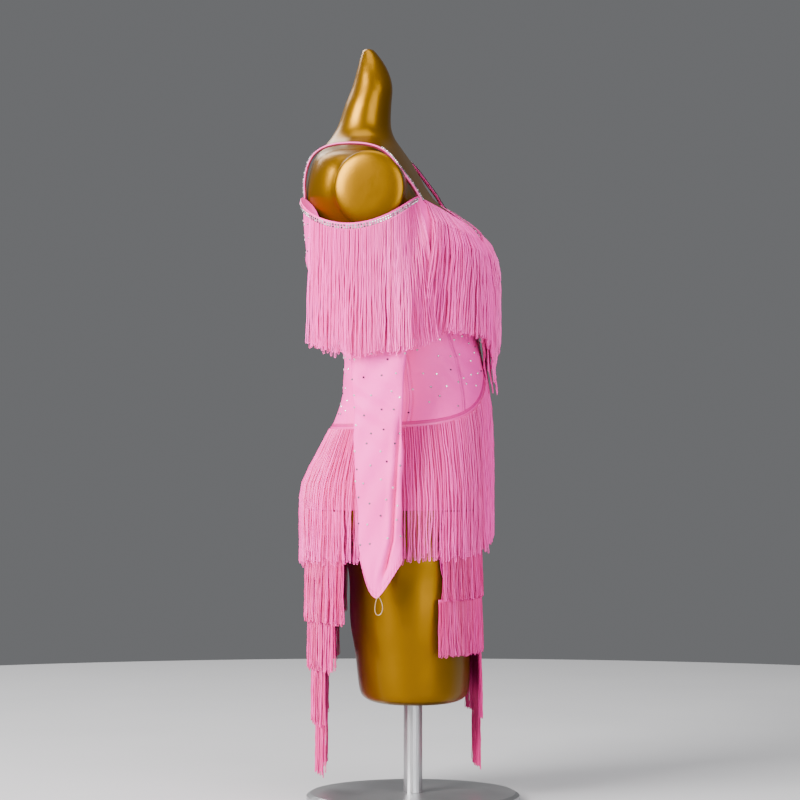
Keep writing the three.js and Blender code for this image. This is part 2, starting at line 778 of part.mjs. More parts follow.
const sleeveFringe = (side) =>
  sleeveStrip(
    side,
    SLEEVE_EDGE_TURNS.fringe,
    2,
    (edge, v, u) => {
      const hem = mix(SLEEVE_FRINGE_HEM.ends, SLEEVE_FRINGE_HEM.middle, sin(PI * u));
      return mix(hem, edge - FRINGE.start, v);
    },
    [6.4, 9.4],
  );

// A tube round a closed flat path, where `axis` is square to the path's plane.
function ringTube(around, sides, path, radius, axis) {
  const positions = [];
  for (let i = 0; i < around; i++) {
    const here = path(i / around);
    const along = path((i + 0.5) / around).sub(path((i + around - 0.5) / around));
    const out = along.cross(axis).normalize();
    for (let j = 0; j < sides; j++) {
      const angle = (2 * PI * j) / sides;
      const point = here.clone().addScaledVector(out, radius * cos(angle));
      positions.push(...point.addScaledVector(axis, radius * sin(angle)).toArray());
    }
  }
  const at = (i, j) => (i % around) * sides + (j % sides);
  const faces = [];
  for (let i = 0; i < around; i++) {
    for (let j = 0; j < sides; j++) {
      const [a, b, c, d] = [at(i, j), at(i + 1, j), at(i + 1, j + 1), at(i, j + 1)];
      faces.push([a, b, c], [a, c, d]);
    }
  }
  return solid(positions, faces);
}

// A round elastic loop that hangs from the cuff's point and holds a finger.
function fingerLoop(side) {
  const { halfWidth, drop, radius } = FINGER_LOOP;
  const top = CUFF.edge - CUFF.point - SEAM_GAP - 0.4;
  const path = (turn) =>
    twisted(
      CUFF.forward + CUFF_TIP_AT * CUFF.halfWidth + halfWidth * cos(2 * PI * turn),
      side * (CUFF.right + CUFF.halfThickness),
      top - radius - (drop / 2) * (1 - sin(2 * PI * turn)),
      TWIST.angle,
    );
  return ringTube(16, 6, path, radius, twisted(0, 1, 0, TWIST.angle));
}

// ---------------------------------------------------------------- straps

// A strap is a flat ribbon pulled tight over the shoulder from peak to peak. Its path is the
// upper outline of the form at the strap's distance from the middle, with hollows bridged.
function strapPath(side) {
  const { clearance } = STRAP;
  const front = skin(side * FRONT_PEAK.angle, FRONT_PEAK.height + 2, CLOTH.outer);
  const back = skin(side * BACK_PEAK.angle, BACK_PEAK.height + 2, CLOTH.outer);
  const [start, end] = [untwisted(front), untwisted(back)];
  const outline = [[start.forward, start.up]];
  const distance = min(abs(start.right), abs(end.right)) - STRAP.width;
  for (let height = FRONT_PEAK.height + 8; height < 975; height += 3) {
    const halfWidth = column(FORM_SECTIONS, height, 3) + clearance;
    if (halfWidth <= distance) break;
    const power = column(FORM_SECTIONS, height, 4);
    const reach = pow(1 - pow(distance / halfWidth, power), 1 / power);
    const [backward, forward] = [column(FORM_SECTIONS, height, 1), column(FORM_SECTIONS, height, 2)];
    const [middle, half] = [(forward + backward) / 2, (forward - backward) / 2 + clearance];
    outline.push([middle + half * reach, height + clearance], [middle - half * reach, height + clearance]);
  }
  outline.push([end.forward, end.up]);
  outline.sort((a, b) => b[0] - a[0]);
  const hull = [];
  for (const point of outline) {
    while (hull.length > 1) {
      const [a, b] = hull.slice(-2);
      const turn = (b[0] - a[0]) * (point[1] - a[1]) - (b[1] - a[1]) * (point[0] - a[0]);
      if (turn > 0) break;
      hull.pop();
    }
    hull.push(point);
  }
  const total = hull[0][0] - hull[hull.length - 1][0];
  const points = hull.map(([forward, up]) => {
    const t = (hull[0][0] - forward) / total;
    return twisted(forward, mix(start.right, end.right, t), up, TWIST.angle);
  });
  return new THREE.CatmullRomCurve3(points, false, "centripetal");
}

function strap(side) {
  const curve = strapPath(side);
  const across = twisted(0, 1, 0, TWIST.angle);
  return wall(1, 16, (u, v, face) => {
    const t = mix(0.004, 0.996, v);
    const out = across.clone().cross(curve.getTangentAt(t)).normalize();
    if (out.z < 0) out.negate();
    return curve
      .getPointAt(t)
      .addScaledVector(across, mix(-STRAP.width / 2, STRAP.width / 2, u))
      .addScaledVector(out, face ? STRAP.thickness : 0);
  });
}

for (const [name, side] of SIDES) {
  add(`neckline_trim_${name}`, necklineTrim(side), stones());
  add(`fringe_bust_${name}`, bustFringe(side), rayon());
  add(`sleeve_${name}`, sleeve(side), jersey());
  add(`sleeve_trim_${name}`, sleeveTrim(side), stones());
  add(`fringe_sleeve_${name}`, sleeveFringe(side), rayon());
  add(`finger_loop_${name}`, fingerLoop(side), elastic());
  add(`strap_${name}`, strap(side), binding());
}

// The origin is under the middle of the whole piece.
const bounds = new THREE.Box3().setFromObject(dress);
const centre = bounds.getCenter(new Vector3());
for (const mesh of dress.children) mesh.geometry.translate(-centre.x, -centre.y, 0);

export default dress;
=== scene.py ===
"""Looks of a fringed latin dance dress on a limbless dress form.

Lengths are in metres, +Z is up, the wearer's front is -Y and the wearer's right is -X. Every
surface is a function of two parameters on a numpy grid. The body's outline at each height is a
rounded oval, the shoulders are turned against the hips, and each piece of cloth, trim and
fringe lies on that body at its own distance.
"""

import logging
import math
from dataclasses import dataclass, field
from enum import Enum
from typing import Callable, Sequence

import bpy
import numpy as np
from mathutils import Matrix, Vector


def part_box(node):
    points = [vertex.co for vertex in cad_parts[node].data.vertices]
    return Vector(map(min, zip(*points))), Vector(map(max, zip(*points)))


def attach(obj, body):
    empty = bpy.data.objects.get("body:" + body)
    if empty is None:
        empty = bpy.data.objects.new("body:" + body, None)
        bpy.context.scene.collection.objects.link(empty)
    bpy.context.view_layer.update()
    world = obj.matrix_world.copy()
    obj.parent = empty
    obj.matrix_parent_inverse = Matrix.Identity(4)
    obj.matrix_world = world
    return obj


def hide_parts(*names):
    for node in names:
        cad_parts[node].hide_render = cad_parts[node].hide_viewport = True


LOG = logging.getLogger("dress")
Array = np.ndarray
MM = 0.001
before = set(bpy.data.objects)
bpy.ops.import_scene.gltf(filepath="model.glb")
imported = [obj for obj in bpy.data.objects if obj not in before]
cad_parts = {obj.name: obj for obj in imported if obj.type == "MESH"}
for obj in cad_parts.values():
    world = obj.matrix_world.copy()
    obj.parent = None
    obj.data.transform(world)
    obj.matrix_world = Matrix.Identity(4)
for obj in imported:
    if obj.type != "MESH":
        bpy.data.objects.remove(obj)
BODY = "root"


class Side(Enum):
    """The wearer's sides, with the sign that a distance to the right takes."""

    RIGHT = 1
    LEFT = -1

    @property
    def word(self) -> str:
        """The side as it stands in a piece's name."""
        return self.name.lower()


# ---- numbers


def mix(a: Array | float, b: Array | float, t: Array | float) -> Array | float:
    """The value between a and b at the share t."""
    return a + (b - a) * t


def smooth_step(t: Array | float) -> Array | float:
    """A share that starts and ends level: 3t^2 - 2t^3, held between 0 and 1."""
    held = np.clip(t, 0.0, 1.0)
    return held * held * (3.0 - 2.0 * held)


def power(value: Array | float, exponent: Array | float) -> Array:
    """value to a power with its sign kept."""
    return np.sign(value) * np.abs(value) ** exponent


def smooth_column(table: Array, at: Array | float, index: int) -> Array:
    """One column of a table, smoothly between its rows by cubic Hermite curves.

    Args:
        table: rows sorted by their first column.
        at: values of the first column to read at.
        index: the column to read.

    Returns:
        The column's value at each place.
    """
    x, y = table[:, 0], table[:, index]
    slope = np.gradient(y, x)
    slope[1:-1] = (y[2:] - y[:-2]) / (x[2:] - x[:-2])
    held = np.clip(at, x[0], x[-1])
    i = np.clip(np.searchsorted(x, held, side="right") - 1, 0, len(x) - 2)
    step = x[i + 1] - x[i]
    t = (held - x[i]) / step
    t2, t3 = t * t, t * t * t
    return (
        (2 * t3 - 3 * t2 + 1) * y[i]
        + (t3 - 2 * t2 + t) * step * slope[i]
        + (3 * t2 - 2 * t3) * y[i + 1]
        + (t3 - t2) * step * slope[i + 1]
    )


def wrapped(angle: Array) -> Array:
    """An angle between -pi and pi."""
    return np.arctan2(np.sin(angle), np.cos(angle))


def unit(vectors: Array) -> Array:
    """Vectors made one long."""
    return vectors / np.maximum(np.linalg.norm(vectors, axis=-1, keepdims=True), 1e-12)


def grid_normals(points: Array, wrap: bool = False) -> Array:
    """Unit normals of a grid of points, as the cross product of its two slopes.

    Args:
        points: (rows, columns, 3).
        wrap: whether the last column meets the first.

    Returns:
        Normals of the same shape.
    """
    down = np.gradient(points, axis=0)
    if wrap:
        across = (np.roll(points, -1, axis=1) - np.roll(points, 1, axis=1)) / 2
    else:
        across = np.gradient(points, axis=1)
    return unit(np.cross(across, down))


# ---- the body's shape

# Level sections of the form in millimetres: height, reach to the back and to the front, half
# width, and the power of the rounded outline.
FORM_SECTIONS = np.array(
    [
        (154, -50, 90, 128, 2.3),
        (158, -58, 98, 139, 2.3),
        (172, -63, 102, 143, 2.3),
        (225, -69, 103, 148, 2.3),
        (270, -76, 104, 152, 2.3),
        (340, -78, 107, 153, 2.4),
        (365, -86, 109, 155, 2.4),
        (390, -106, 112, 157, 2.4),
        (420, -132, 119, 160, 2.4),
        (450, -141, 125, 161, 2.4),
        (484, -136, 126, 157, 2.4),
        (508, -125, 126, 152, 2.4),
        (537, -111, 127, 144, 2.4),
        (560, -100, 128, 137, 2.4),
        (600, -86, 127, 120, 2.4),
        (642, -82, 122, 110, 2.4),
        (660, -81, 119, 109, 2.4),
        (700, -94, 112, 114, 2.4),
        (740, -109, 112, 123, 2.5),
        (775, -123, 119, 132, 2.6),
        (790, -130, 125, 135, 2.7),
        (807, -135, 128, 138, 2.8),
        (820, -134, 127, 140, 2.8),
        (834, -135, 121, 142, 2.8),
        (848, -136, 111, 146, 2.8),
        (860, -136, 97, 150, 2.8),
        (872, -136, 82, 154, 2.8),
        (885, -136, 66, 158, 2.7),
        (900, -136, 47, 160, 2.6),
        (920, -133, 32, 160, 2.5),
        (940, -129, 21, 156, 2.4),
        (958, -123, 11, 142, 2.4),
        (970, -117, 4, 112, 2.3),
        (980, -114, -2, 76, 2.2),
        (992, -106, -10, 52, 2.2),
        (1010, -96, -16, 43, 2.1),
        (1045, -84, -15, 38, 2),
        (1070, -74, -13, 32, 2),
        (1095, -67, -20, 25, 2),
        (1115, -62, -32, 16, 2),
        (1129, -58, -44, 7, 2),
    ]
) * np.array([MM, MM, MM, MM, 1.0])


@dataclass(frozen=True)
class DressBody:
    """The shape that everything lies on, with the edges of the dress.

    Angles go round the body from the centre front to the wearer's right, so pi is the centre
    back. `shift` is where the body's own axis stands in the frame.
    """

    shift: tuple[float, float]
    twist: float = math.radians(10)
    twist_from: float = 0.560
    twist_to: float = 0.800
    hollow: tuple[float, float, float, float, float] = (0.822, 0.034, 0.044, 0.011, 0.024)
    front_peak: tuple[float, float] = (math.radians(33.6), 0.897)
    back_peak: tuple[float, float] = (math.radians(142), 0.900)
    neckline_point: float = 0.810
    back_dip: float = 0.016
    underarm: float = 0.795
    hip_side: float = 0.560
    hip_rise: float = 0.095
    hip_spread: float = math.radians(37)
    side_seam: float = math.radians(92)

    def turn(self, height: Array | float) -> Array | float:
        """How far the body is turned at a height."""
        share = (height - self.twist_from) / (self.twist_to - self.twist_from)
        return self.twist * smooth_step(share)

    def place(self, forward: Array, right: Array, up: Array, turn: Array | float | None = None) -> Array:
        """Points of the frame from distances forward, to the wearer's right and up.

        Args:
            forward: distance to the front, before the twist.
            right: distance to the wearer's right, before the twist.
            up: height.
            turn: the twist to use, or None for the body's own at that height.

        Returns:
            Points, with x, y and z last.
        """
        angle = self.turn(up) if turn is None else turn
        ahead = forward * np.cos(angle) - right * np.sin(angle)
        aside = right * np.cos(angle) + forward * np.sin(angle)
        return np.stack(
            np.broadcast_arrays(self.shift[0] - aside, self.shift[1] - ahead, up), axis=-1
        )

    def section(self, angle: Array, height: Array) -> tuple[Array, Array]:
        """Distances forward and to the right of the form's surface, before the twist.

        The outline is |forward/depth|^p + |right/width|^p = 1, with a soft hollow between
        the two halves of the bust.


        Args:
            angle: round the body, from the centre front.
            height: above the floor.

        Returns:
            Distances forward and to the right.
        """
        back, front, half, bend = (smooth_column(FORM_SECTIONS, height, i) for i in (1, 2, 3, 4))
        ahead = power(np.cos(angle), 2 / bend)
        right = half * power(np.sin(angle), 2 / bend)
        forward = (front + back) / 2 + (front - back) / 2 * ahead
        middle, above, below, depth, spread = self.hollow
        rise = (height - middle) / np.where(height > middle, above, below)
        groove = depth * np.exp(-rise * rise) * np.exp(-((right / spread) ** 2))
        return forward - np.where(ahead > 0, groove, 0.0), right

    def skin(self, angle: Array, height: Array, offset: Array | float) -> Array:
        """Points that stand off the form by `offset`, square to its surface.

        Args:
            angle: round the body, from the centre front.
            height: above the floor.
            offset: distance from the form.

        Returns:
            Points, with x, y and z last.
        """
        angle, height = np.broadcast_arrays(angle, height)
        forward, right = self.section(angle, height)
        f1, r1 = self.section(angle + 0.01, height)
        f0, r0 = self.section(angle - 0.01, height)
        f3, r3 = self.section(angle, height + 0.002)
        f2, r2 = self.section(angle, height - 0.002)
        rise = np.full_like(forward, 0.004)
        along = np.stack([f1 - f0, r1 - r0, np.zeros_like(forward)], axis=-1)
        normal = unit(np.cross(along, np.stack([f3 - f2, r3 - r2, rise], axis=-1)))
        out = normal * np.asarray(offset)[..., None]
        turn = self.turn(height)
        return self.place(forward + out[..., 0], right + out[..., 1], height + out[..., 2], turn)

    def upper_edge(self, angle: Array) -> Array:
        """Height of the bodice's upper edge: the V, the armholes and the back edge.

        Args:
            angle: round the body, from the centre front.

        Returns:
            Heights.
        """
        a = np.abs(wrapped(angle))
        (front, front_height), (back, back_height) = self.front_peak, self.back_peak
        quarter = math.pi / 2
        neck = mix(self.neckline_point, front_height, np.clip(a / front, 0, 1) ** 0.38)
        fore = np.clip((quarter - a) / (quarter - front), 0, 1) ** 1.7
        aft = np.clip((a - quarter) / (back - quarter), 0, 1) ** 1.9
        nape = (math.pi - a) / (math.pi - back)
        return np.select(
            [a < front, a < quarter, a < back],
            [
                neck,
                mix(self.underarm, front_height, fore),
                mix(self.underarm, back_height, aft),
            ],
            back_height - self.back_dip * (1 - nape * nape),
        )

    def hip_seam(self, angle: Array) -> Array:
        """Height of the seam between bodice and briefs, which rises to the centre front."""
        a = np.abs(wrapped(angle))
        return self.hip_side + self.hip_rise * np.exp(-((a / self.hip_spread) ** 1.25))


# ---- meshes


@dataclass
class MeshParts:
    """Vertices and faces of a mesh in the making, with a map and a shade for each vertex."""

    points: list[Array] = field(default_factory=list)
    faces: list[Array] = field(default_factory=list)
    maps: list[Array] = field(default_factory=list)
    shades: list[Array] = field(default_factory=list)
    materials: list[Array] = field(default_factory=list)
    count: int = 0

    def add(
        self,
        points: Array,
        faces: Sequence[Array],
        uv: Array | None = None,
        shade: Array | float = 0.5,
        material: int = 0,
    ) -> None:
        """Adds points with their faces.

        Args:
            points: (n, 3).
            faces: arrays of vertex numbers, each with a face a row.
            uv: (n, 2), a place on the cloth in metres.
            shade: a value from 0 to 1 for each vertex, or one for all.
            material: the slot of these faces.
        """
        n = len(points)
        self.points.append(points)
        for face in faces:
            self.faces.append(face + self.count)
            self.materials.append(np.full(len(face), material))
        self.maps.append(np.zeros((n, 2)) if uv is None else uv)
        self.shades.append(np.broadcast_to(np.asarray(shade, float), (n,)))
        self.count += n

    def build(
        self, name: str, materials: Sequence[bpy.types.Material], sharp: float = 40.0
    ) -> bpy.types.Object:
        """Makes the object, with its faces turned outwards.

        Args:
            name: the piece's name.
            materials: its slots, in order.
            sharp: edges over this many degrees stay sharp.

        Returns:
            The object, linked to the scene.
        """
        points = np.concatenate(self.points).astype(np.float32)
        sizes = np.concatenate([np.full(len(f), f.shape[1]) for f in self.faces])
        loops = np.concatenate([f.ravel() for f in self.faces]).astype(np.int32)
        mesh = bpy.data.meshes.new(name)
        mesh.vertices.add(len(points))
        mesh.vertices.foreach_set("co", points.ravel())
        mesh.loops.add(len(loops))
        mesh.loops.foreach_set("vertex_index", loops)
        mesh.polygons.add(len(sizes))
        starts = np.concatenate([[0], np.cumsum(sizes)[:-1]]).astype(np.int32)
        mesh.polygons.foreach_set("loop_start", starts)
        mesh.polygons.foreach_set("loop_total", sizes.astype(np.int32))
        mesh.polygons.foreach_set("material_index", np.concatenate(self.materials).astype(np.int32))
        mesh.polygons.foreach_set("use_smooth", np.ones(len(sizes), bool))
        layer = mesh.uv_layers.new(name="cloth")
        layer.uv.foreach_set("vector", np.concatenate(self.maps)[loops].astype(np.float32).ravel())
        shade = mesh.attributes.new("shade", "FLOAT", "POINT")
        shade.data.foreach_set("value", np.concatenate(self.shades).astype(np.float32))
        mesh.update(calc_edges=True)
        mesh.validate()
        mesh.set_sharp_from_angle(angle=math.radians(sharp))
        for material in materials:
            mesh.materials.append(material)
        piece = bpy.data.objects.new(name, mesh)
        bpy.context.scene.collection.objects.link(piece)
        return piece


def grid_faces(rows: int, columns: int, wrap: bool = False) -> Array:
    """Quads of a grid of rows and columns, row by row.

    Args:
        rows: of points.
        columns: of points.
        wrap: whether the last column meets the first.

    Returns:
        (quads, 4) vertex numbers.
    """
    i = np.arange(columns if wrap else columns - 1)
    j = np.arange(rows - 1)[:, None]
    following = (i + 1) % columns
    quads = [j * columns + i, j * columns + following, (j + 1) * columns + following, (j + 1) * columns + i]
    return np.stack(quads, axis=-1).reshape(-1, 4)


def signed_volume(points: Array, quads: Array) -> float:
    """Volume inside quads, negative where they point inwards."""
    a, b, c, d = (points[quads[:, k]] for k in range(4))
    return float((a * (np.cross(b, c) + np.cross(c, d))).sum() / 6)


def arc_map(points: Array, wrap: bool = False) -> Array:
    """A place in metres for each point of a grid: the mean arc along its row and its column.

    Args:
        points: (rows, columns, 3).
        wrap: whether the last column meets the first.

    Returns:
        (rows, columns, 2).
    """
    across = np.linalg.norm(np.diff(points, axis=1), axis=-1)
    down = np.linalg.norm(np.diff(points, axis=0), axis=-1)
    u = np.concatenate([[0], np.cumsum(across.mean(axis=0))])
    v = np.concatenate([[0], np.cumsum(down.mean(axis=1))])
    return np.stack(np.broadcast_arrays(u[None, :], v[:, None]), axis=-1)


def add_wall(parts: MeshParts, outer: Array, inner: Array, wrap: bool = False, material: int = 0) -> None:
    """A closed wall between two grids, with a rim round their open edges.

    Args:
        parts: the mesh to add to.
        outer: (rows, columns, 3).
        inner: the same, on the other face.
        wrap: whether the last column meets the first, as in a tube.
        material: the slot.
    """
    rows, columns = outer.shape[:2]
    n = rows * columns
    points = np.concatenate([outer.reshape(-1, 3), inner.reshape(-1, 3)])
    front = grid_faces(rows, columns, wrap)
    back = front[:, ::-1] + n
    index = np.arange(n).reshape(rows, columns)

    def rim(edge: Array, closed: bool) -> Array:
        """Quads between an edge of one face and the same edge of the other."""
        a, b = (edge, np.roll(edge, -1)) if closed else (edge[:-1], edge[1:])
        return np.stack([a, a + n, b + n, b], axis=-1)

    rims = [rim(index[0], wrap), rim(index[-1], wrap)[:, ::-1]]
    if not wrap:
        rims += [rim(index[:, 0], False)[:, ::-1], rim(index[:, -1], False)]
    quads = np.concatenate([front, back, *rims])
    if signed_volume(points, quads) < 0:
        quads = quads[:, ::-1]
    uv = arc_map(outer).reshape(-1, 2)
    parts.add(points, [quads], np.concatenate([uv, uv]), material=material)


def closed_faces(points: Array, rings: int, sides: int) -> list[Array]:
    """Faces of stacked rings, with a face at each end, all turned outwards.

    Args:
        points: (rings * sides, 3).
        rings: how many.
        sides: points of a ring.

    Returns:
        The quads, the first end and the last end.
    """
    quads = grid_faces(rings, sides, wrap=True)
    ring = np.arange(sides)[None, :]
    faces = [quads, ring[:, ::-1], (rings - 1) * sides + ring]
    return [face[:, ::-1] for face in faces] if signed_volume(points, quads) < 0 else faces


# ---- materials


class Graph:
    """Adds nodes to a shader tree and joins them."""

    def __init__(self, tree: bpy.types.NodeTree) -> None:
        """Works on a tree."""
        self.tree = tree

    def node(self, kind: str, inputs: dict | None = None, **settings: object) -> bpy.types.Node:
        """Adds a node.

        Args:
            kind: its Blender type.
            inputs: values or sockets, by input name or number.
            **settings: its properties.

        Returns:
            The node.
        """
        made = self.tree.nodes.new(kind)
        for name, value in settings.items():
            setattr(made, name, value)
        for name, value in (inputs or {}).items():
            self.set(made.inputs[name], value)
        return made

    def set(self, socket: bpy.types.NodeSocket, value: object) -> None:
        """Gives an input a value, or joins a socket to it."""
        if isinstance(value, bpy.types.NodeSocket):
            self.tree.links.new(value, socket)
        else:
            socket.default_value = value

    def math(self, operation: str, a: object, b: object = 0.0, c: object = 0.0) -> bpy.types.NodeSocket:
        """One arithmetic step on values or sockets."""
        return self.node("ShaderNodeMath", {0: a, 1: b, 2: c}, operation=operation).outputs[0]

    def blend(self, share: object, low: object, high: object) -> bpy.types.NodeSocket:
        """A colour between two colours.

        Args:
            share: 0 for low, 1 for high.
            low: a colour.
            high: a colour.

        Returns:
            The colour's socket.
        """
        made = self.node("ShaderNodeMix", data_type="RGBA")
        for index, value in ((0, share), (6, low), (7, high)):
            self.set(made.inputs[index], value)
        return made.outputs[2]

    def bump(self, height: bpy.types.NodeSocket, depth: float, strength: float = 1.0) -> bpy.types.NodeSocket:
        """A normal from a height; depth is in metres."""
        values = {"Height": height, "Distance": depth, "Strength": strength}
        return self.node("ShaderNodeBump", values).outputs["Normal"]

    def place(self, name: str, **inputs: object) -> bpy.types.Node:
        """Places a node group.

        Args:
            name: the group's.
            **inputs: its values or sockets.

        Returns:
            The group's node.
        """
        made = self.tree.nodes.new("ShaderNodeGroup")
        made.node_tree = bpy.data.node_groups[name]
        for key, value in inputs.items():
            self.set(made.inputs[key], value)
        return made


def new_group(name: str, inputs: Sequence[tuple[str, str]], outputs: Sequence[tuple[str, str]]) -> tuple:
    """Starts a node group.

    Args:
        name: its name.
        inputs: names and socket types.
        outputs: the same for what it puts out.

    Returns:
        Its graph, its input node and its output node.
    """
    tree = bpy.data.node_groups.new(name, "ShaderNodeTree")
    for key, kind in inputs:
        tree.interface.new_socket(key, in_out="INPUT", socket_type=kind)
    for key, kind in outputs:
        tree.interface.new_socket(key, in_out="OUTPUT", socket_type=kind)
    return Graph(tree), tree.nodes.new("NodeGroupInput"), tree.nodes.new("NodeGroupOutput")


FLOAT = "NodeSocketFloat"
VECTOR = "NodeSocketVector"


class Effects:
    """Node groups that several finishes share."""

    KNIT = "Knit"
    SEAM = "Sewn edge"
    MOTTLE = "Mottle"

    @classmethod
    def build(cls) -> None:
        """Builds every group once."""
        cls._knit()
        cls._seam()
        cls._mottle()

    @classmethod
    def _knit(cls) -> None:
        """Fine jersey: the product of two sine waves along and across the cloth."""
        graph, given, out = new_group(cls.KNIT, [("Map", VECTOR), ("Pitch", FLOAT)], [("Height", FLOAT)])
        axes = graph.node("ShaderNodeSeparateXYZ", {0: given.outputs["Map"]}).outputs
        turns = graph.math("DIVIDE", 2 * math.pi, given.outputs["Pitch"])
        across = graph.math("SINE", graph.math("MULTIPLY", axes[0], turns))
        along = graph.math("SINE", graph.math("MULTIPLY", graph.math("MULTIPLY", axes[1], turns), 0.7))
        both = graph.math("MULTIPLY", across, along)
        graph.set(out.inputs["Height"], graph.math("MULTIPLY_ADD", both, 0.5, 0.5))

    @classmethod
    def _seam(cls) -> None:
        """A sewn edge: a rolled ridge at the edge, and dashes of thread at a distance from it.

        Distance is 0 at the edge. The ridge is 1 - smoothstep over Ridge, and a dash stands
        where the distance is close to Row and a sine along the cloth is positive.
        """
        graph, given, out = new_group(
            cls.SEAM,
            [("Distance", FLOAT), ("Map", VECTOR), ("Ridge", FLOAT), ("Row", FLOAT), ("Stitch", FLOAT)],
            [("Ridge", FLOAT), ("Thread", FLOAT)],
        )
        distance = given.outputs["Distance"]
        reach = given.outputs["Ridge"]
        values = {"Value": distance, "From Min": 0.0, "From Max": reach, "To Min": 1.0, "To Max": 0.0}
        ridge = graph.node("ShaderNodeMapRange", values, interpolation_type="SMOOTHSTEP")
        graph.set(out.inputs["Ridge"], ridge.outputs[0])
        axes = graph.node("ShaderNodeSeparateXYZ", {0: given.outputs["Map"]}).outputs
        along = graph.math("ADD", axes[0], axes[1])
        turns = graph.math("DIVIDE", 2 * math.pi, given.outputs["Stitch"])
        dash = graph.math("GREATER_THAN", graph.math("SINE", graph.math("MULTIPLY", along, turns)), -0.2)
        near = graph.math("COMPARE", distance, given.outputs["Row"], 0.04)
        graph.set(out.inputs["Thread"], graph.math("MULTIPLY", dash, near))

    @classmethod
    def _mottle(cls) -> None:
        """Slow uneven tone: two layers of noise on object coordinates."""
        graph, given, out = new_group(cls.MOTTLE, [("Scale", FLOAT), ("Detail", FLOAT)], [("Tone", FLOAT)])
        at = graph.node("ShaderNodeTexCoord").outputs["Object"]
        values = {"Vector": at, "Scale": given.outputs["Scale"], "Detail": given.outputs["Detail"]}
        noise = graph.node("ShaderNodeTexNoise", values)
        graph.set(out.inputs["Tone"], noise.outputs["Fac"])


Colour = tuple[float, float, float, float]


def start_material(name: str, **constants: object) -> tuple[bpy.types.Material, Graph, bpy.types.Node]:
    """A new material with constants on its Principled shader.

    Args:
        name: the material's name.
        **constants: input names with `_` for a space, and their values.

    Returns:
        The material, its graph and its shader node.
    """
    material = bpy.data.materials.new(name)
    material.use_nodes = True
    graph = Graph(material.node_tree)
    shader = material.node_tree.nodes["Principled BSDF"]
    for key, value in constants.items():
        shader.inputs[key.replace("_", " ")].default_value = value
    return material, graph, shader


@dataclass(frozen=True)
class Lacquer:
    """Glossy gold lacquer, a little uneven."""

    name: str
    light: Colour
    dark: Colour
    metallic: float
    roughness: float
    coat: float

    def make(self) -> bpy.types.Material:
        """Builds the material."""
        constants = {"Coat_Weight": self.coat, "Coat_Roughness": 0.12, "Specular_IOR_Level": 0.12}
        material, graph, shader = start_material(self.name, Metallic=self.metallic, **constants)
        tone = graph.place(Effects.MOTTLE, Scale=9.0, Detail=4.0).outputs["Tone"]
        graph.set(shader.inputs["Base Color"], graph.blend(tone, self.dark, self.light))
        fine = graph.place(Effects.MOTTLE, Scale=420.0, Detail=2.0).outputs["Tone"]
        graph.set(shader.inputs["Roughness"], graph.math("MULTIPLY_ADD", fine, 0.12, self.roughness))
        wave = graph.place(Effects.MOTTLE, Scale=26.0, Detail=1.0).outputs["Tone"]
        height = graph.math("MULTIPLY_ADD", fine, 0.012, wave)
        graph.set(shader.inputs["Normal"], graph.bump(height, 0.0006))
        return material


@dataclass(frozen=True)
class StretchCloth:
    """Matt stretch jersey with sewn edges; each vertex holds its distance from the edge."""

    name: str
    light: Colour
    dark: Colour
    ridge: float
    row: float
    second_row: float
    roughness: float = 0.52

    def make(self) -> bpy.types.Material:
        """Builds the material."""
        sheen = {"Sheen_Weight": 0.12, "Sheen_Roughness": 0.4, "Sheen_Tint": (1.0, 0.40, 0.72, 1.0)}
        constants = {"Roughness": self.roughness, "Specular_IOR_Level": 0.3, **sheen}
        material, graph, shader = start_material(self.name, **constants)
        place = graph.node("ShaderNodeUVMap", uv_map="cloth").outputs[0]
        distance = graph.node("ShaderNodeAttribute", attribute_name="shade").outputs["Fac"]
        knit = graph.place(Effects.KNIT, Map=place, Pitch=0.0011).outputs["Height"]
        values = {"Distance": distance, "Map": place, "Ridge": self.ridge, "Stitch": 0.0034}
        first = graph.place(Effects.SEAM, Row=self.row, **values).outputs
        second = graph.place(Effects.SEAM, Row=self.second_row, **values).outputs["Thread"]
        thread = graph.math("MAXIMUM", first["Thread"], second)
        tone = graph.place(Effects.MOTTLE, Scale=14.0, Detail=3.0).outputs["Tone"]
        plain = graph.math("MULTIPLY_ADD", knit, 0.14, tone)
        share = graph.math("SUBTRACT", plain, graph.math("MULTIPLY", thread, 0.9))
        graph.set(shader.inputs["Base Color"], graph.blend(share, self.dark, self.light))
        pucker = graph.place(Effects.MOTTLE, Scale=60.0, Detail=2.0).outputs["Tone"]
        relief = graph.math("MULTIPLY", first["Ridge"], graph.math("MULTIPLY_ADD", pucker, 2.0, 0.6))
        raised = graph.math("MULTIPLY_ADD", knit, 0.12, relief)
        height = graph.math("ADD", raised, graph.math("MULTIPLY", thread, -0.7))
        graph.set(shader.inputs["Normal"], graph.bump(height, 0.0009))
        return material


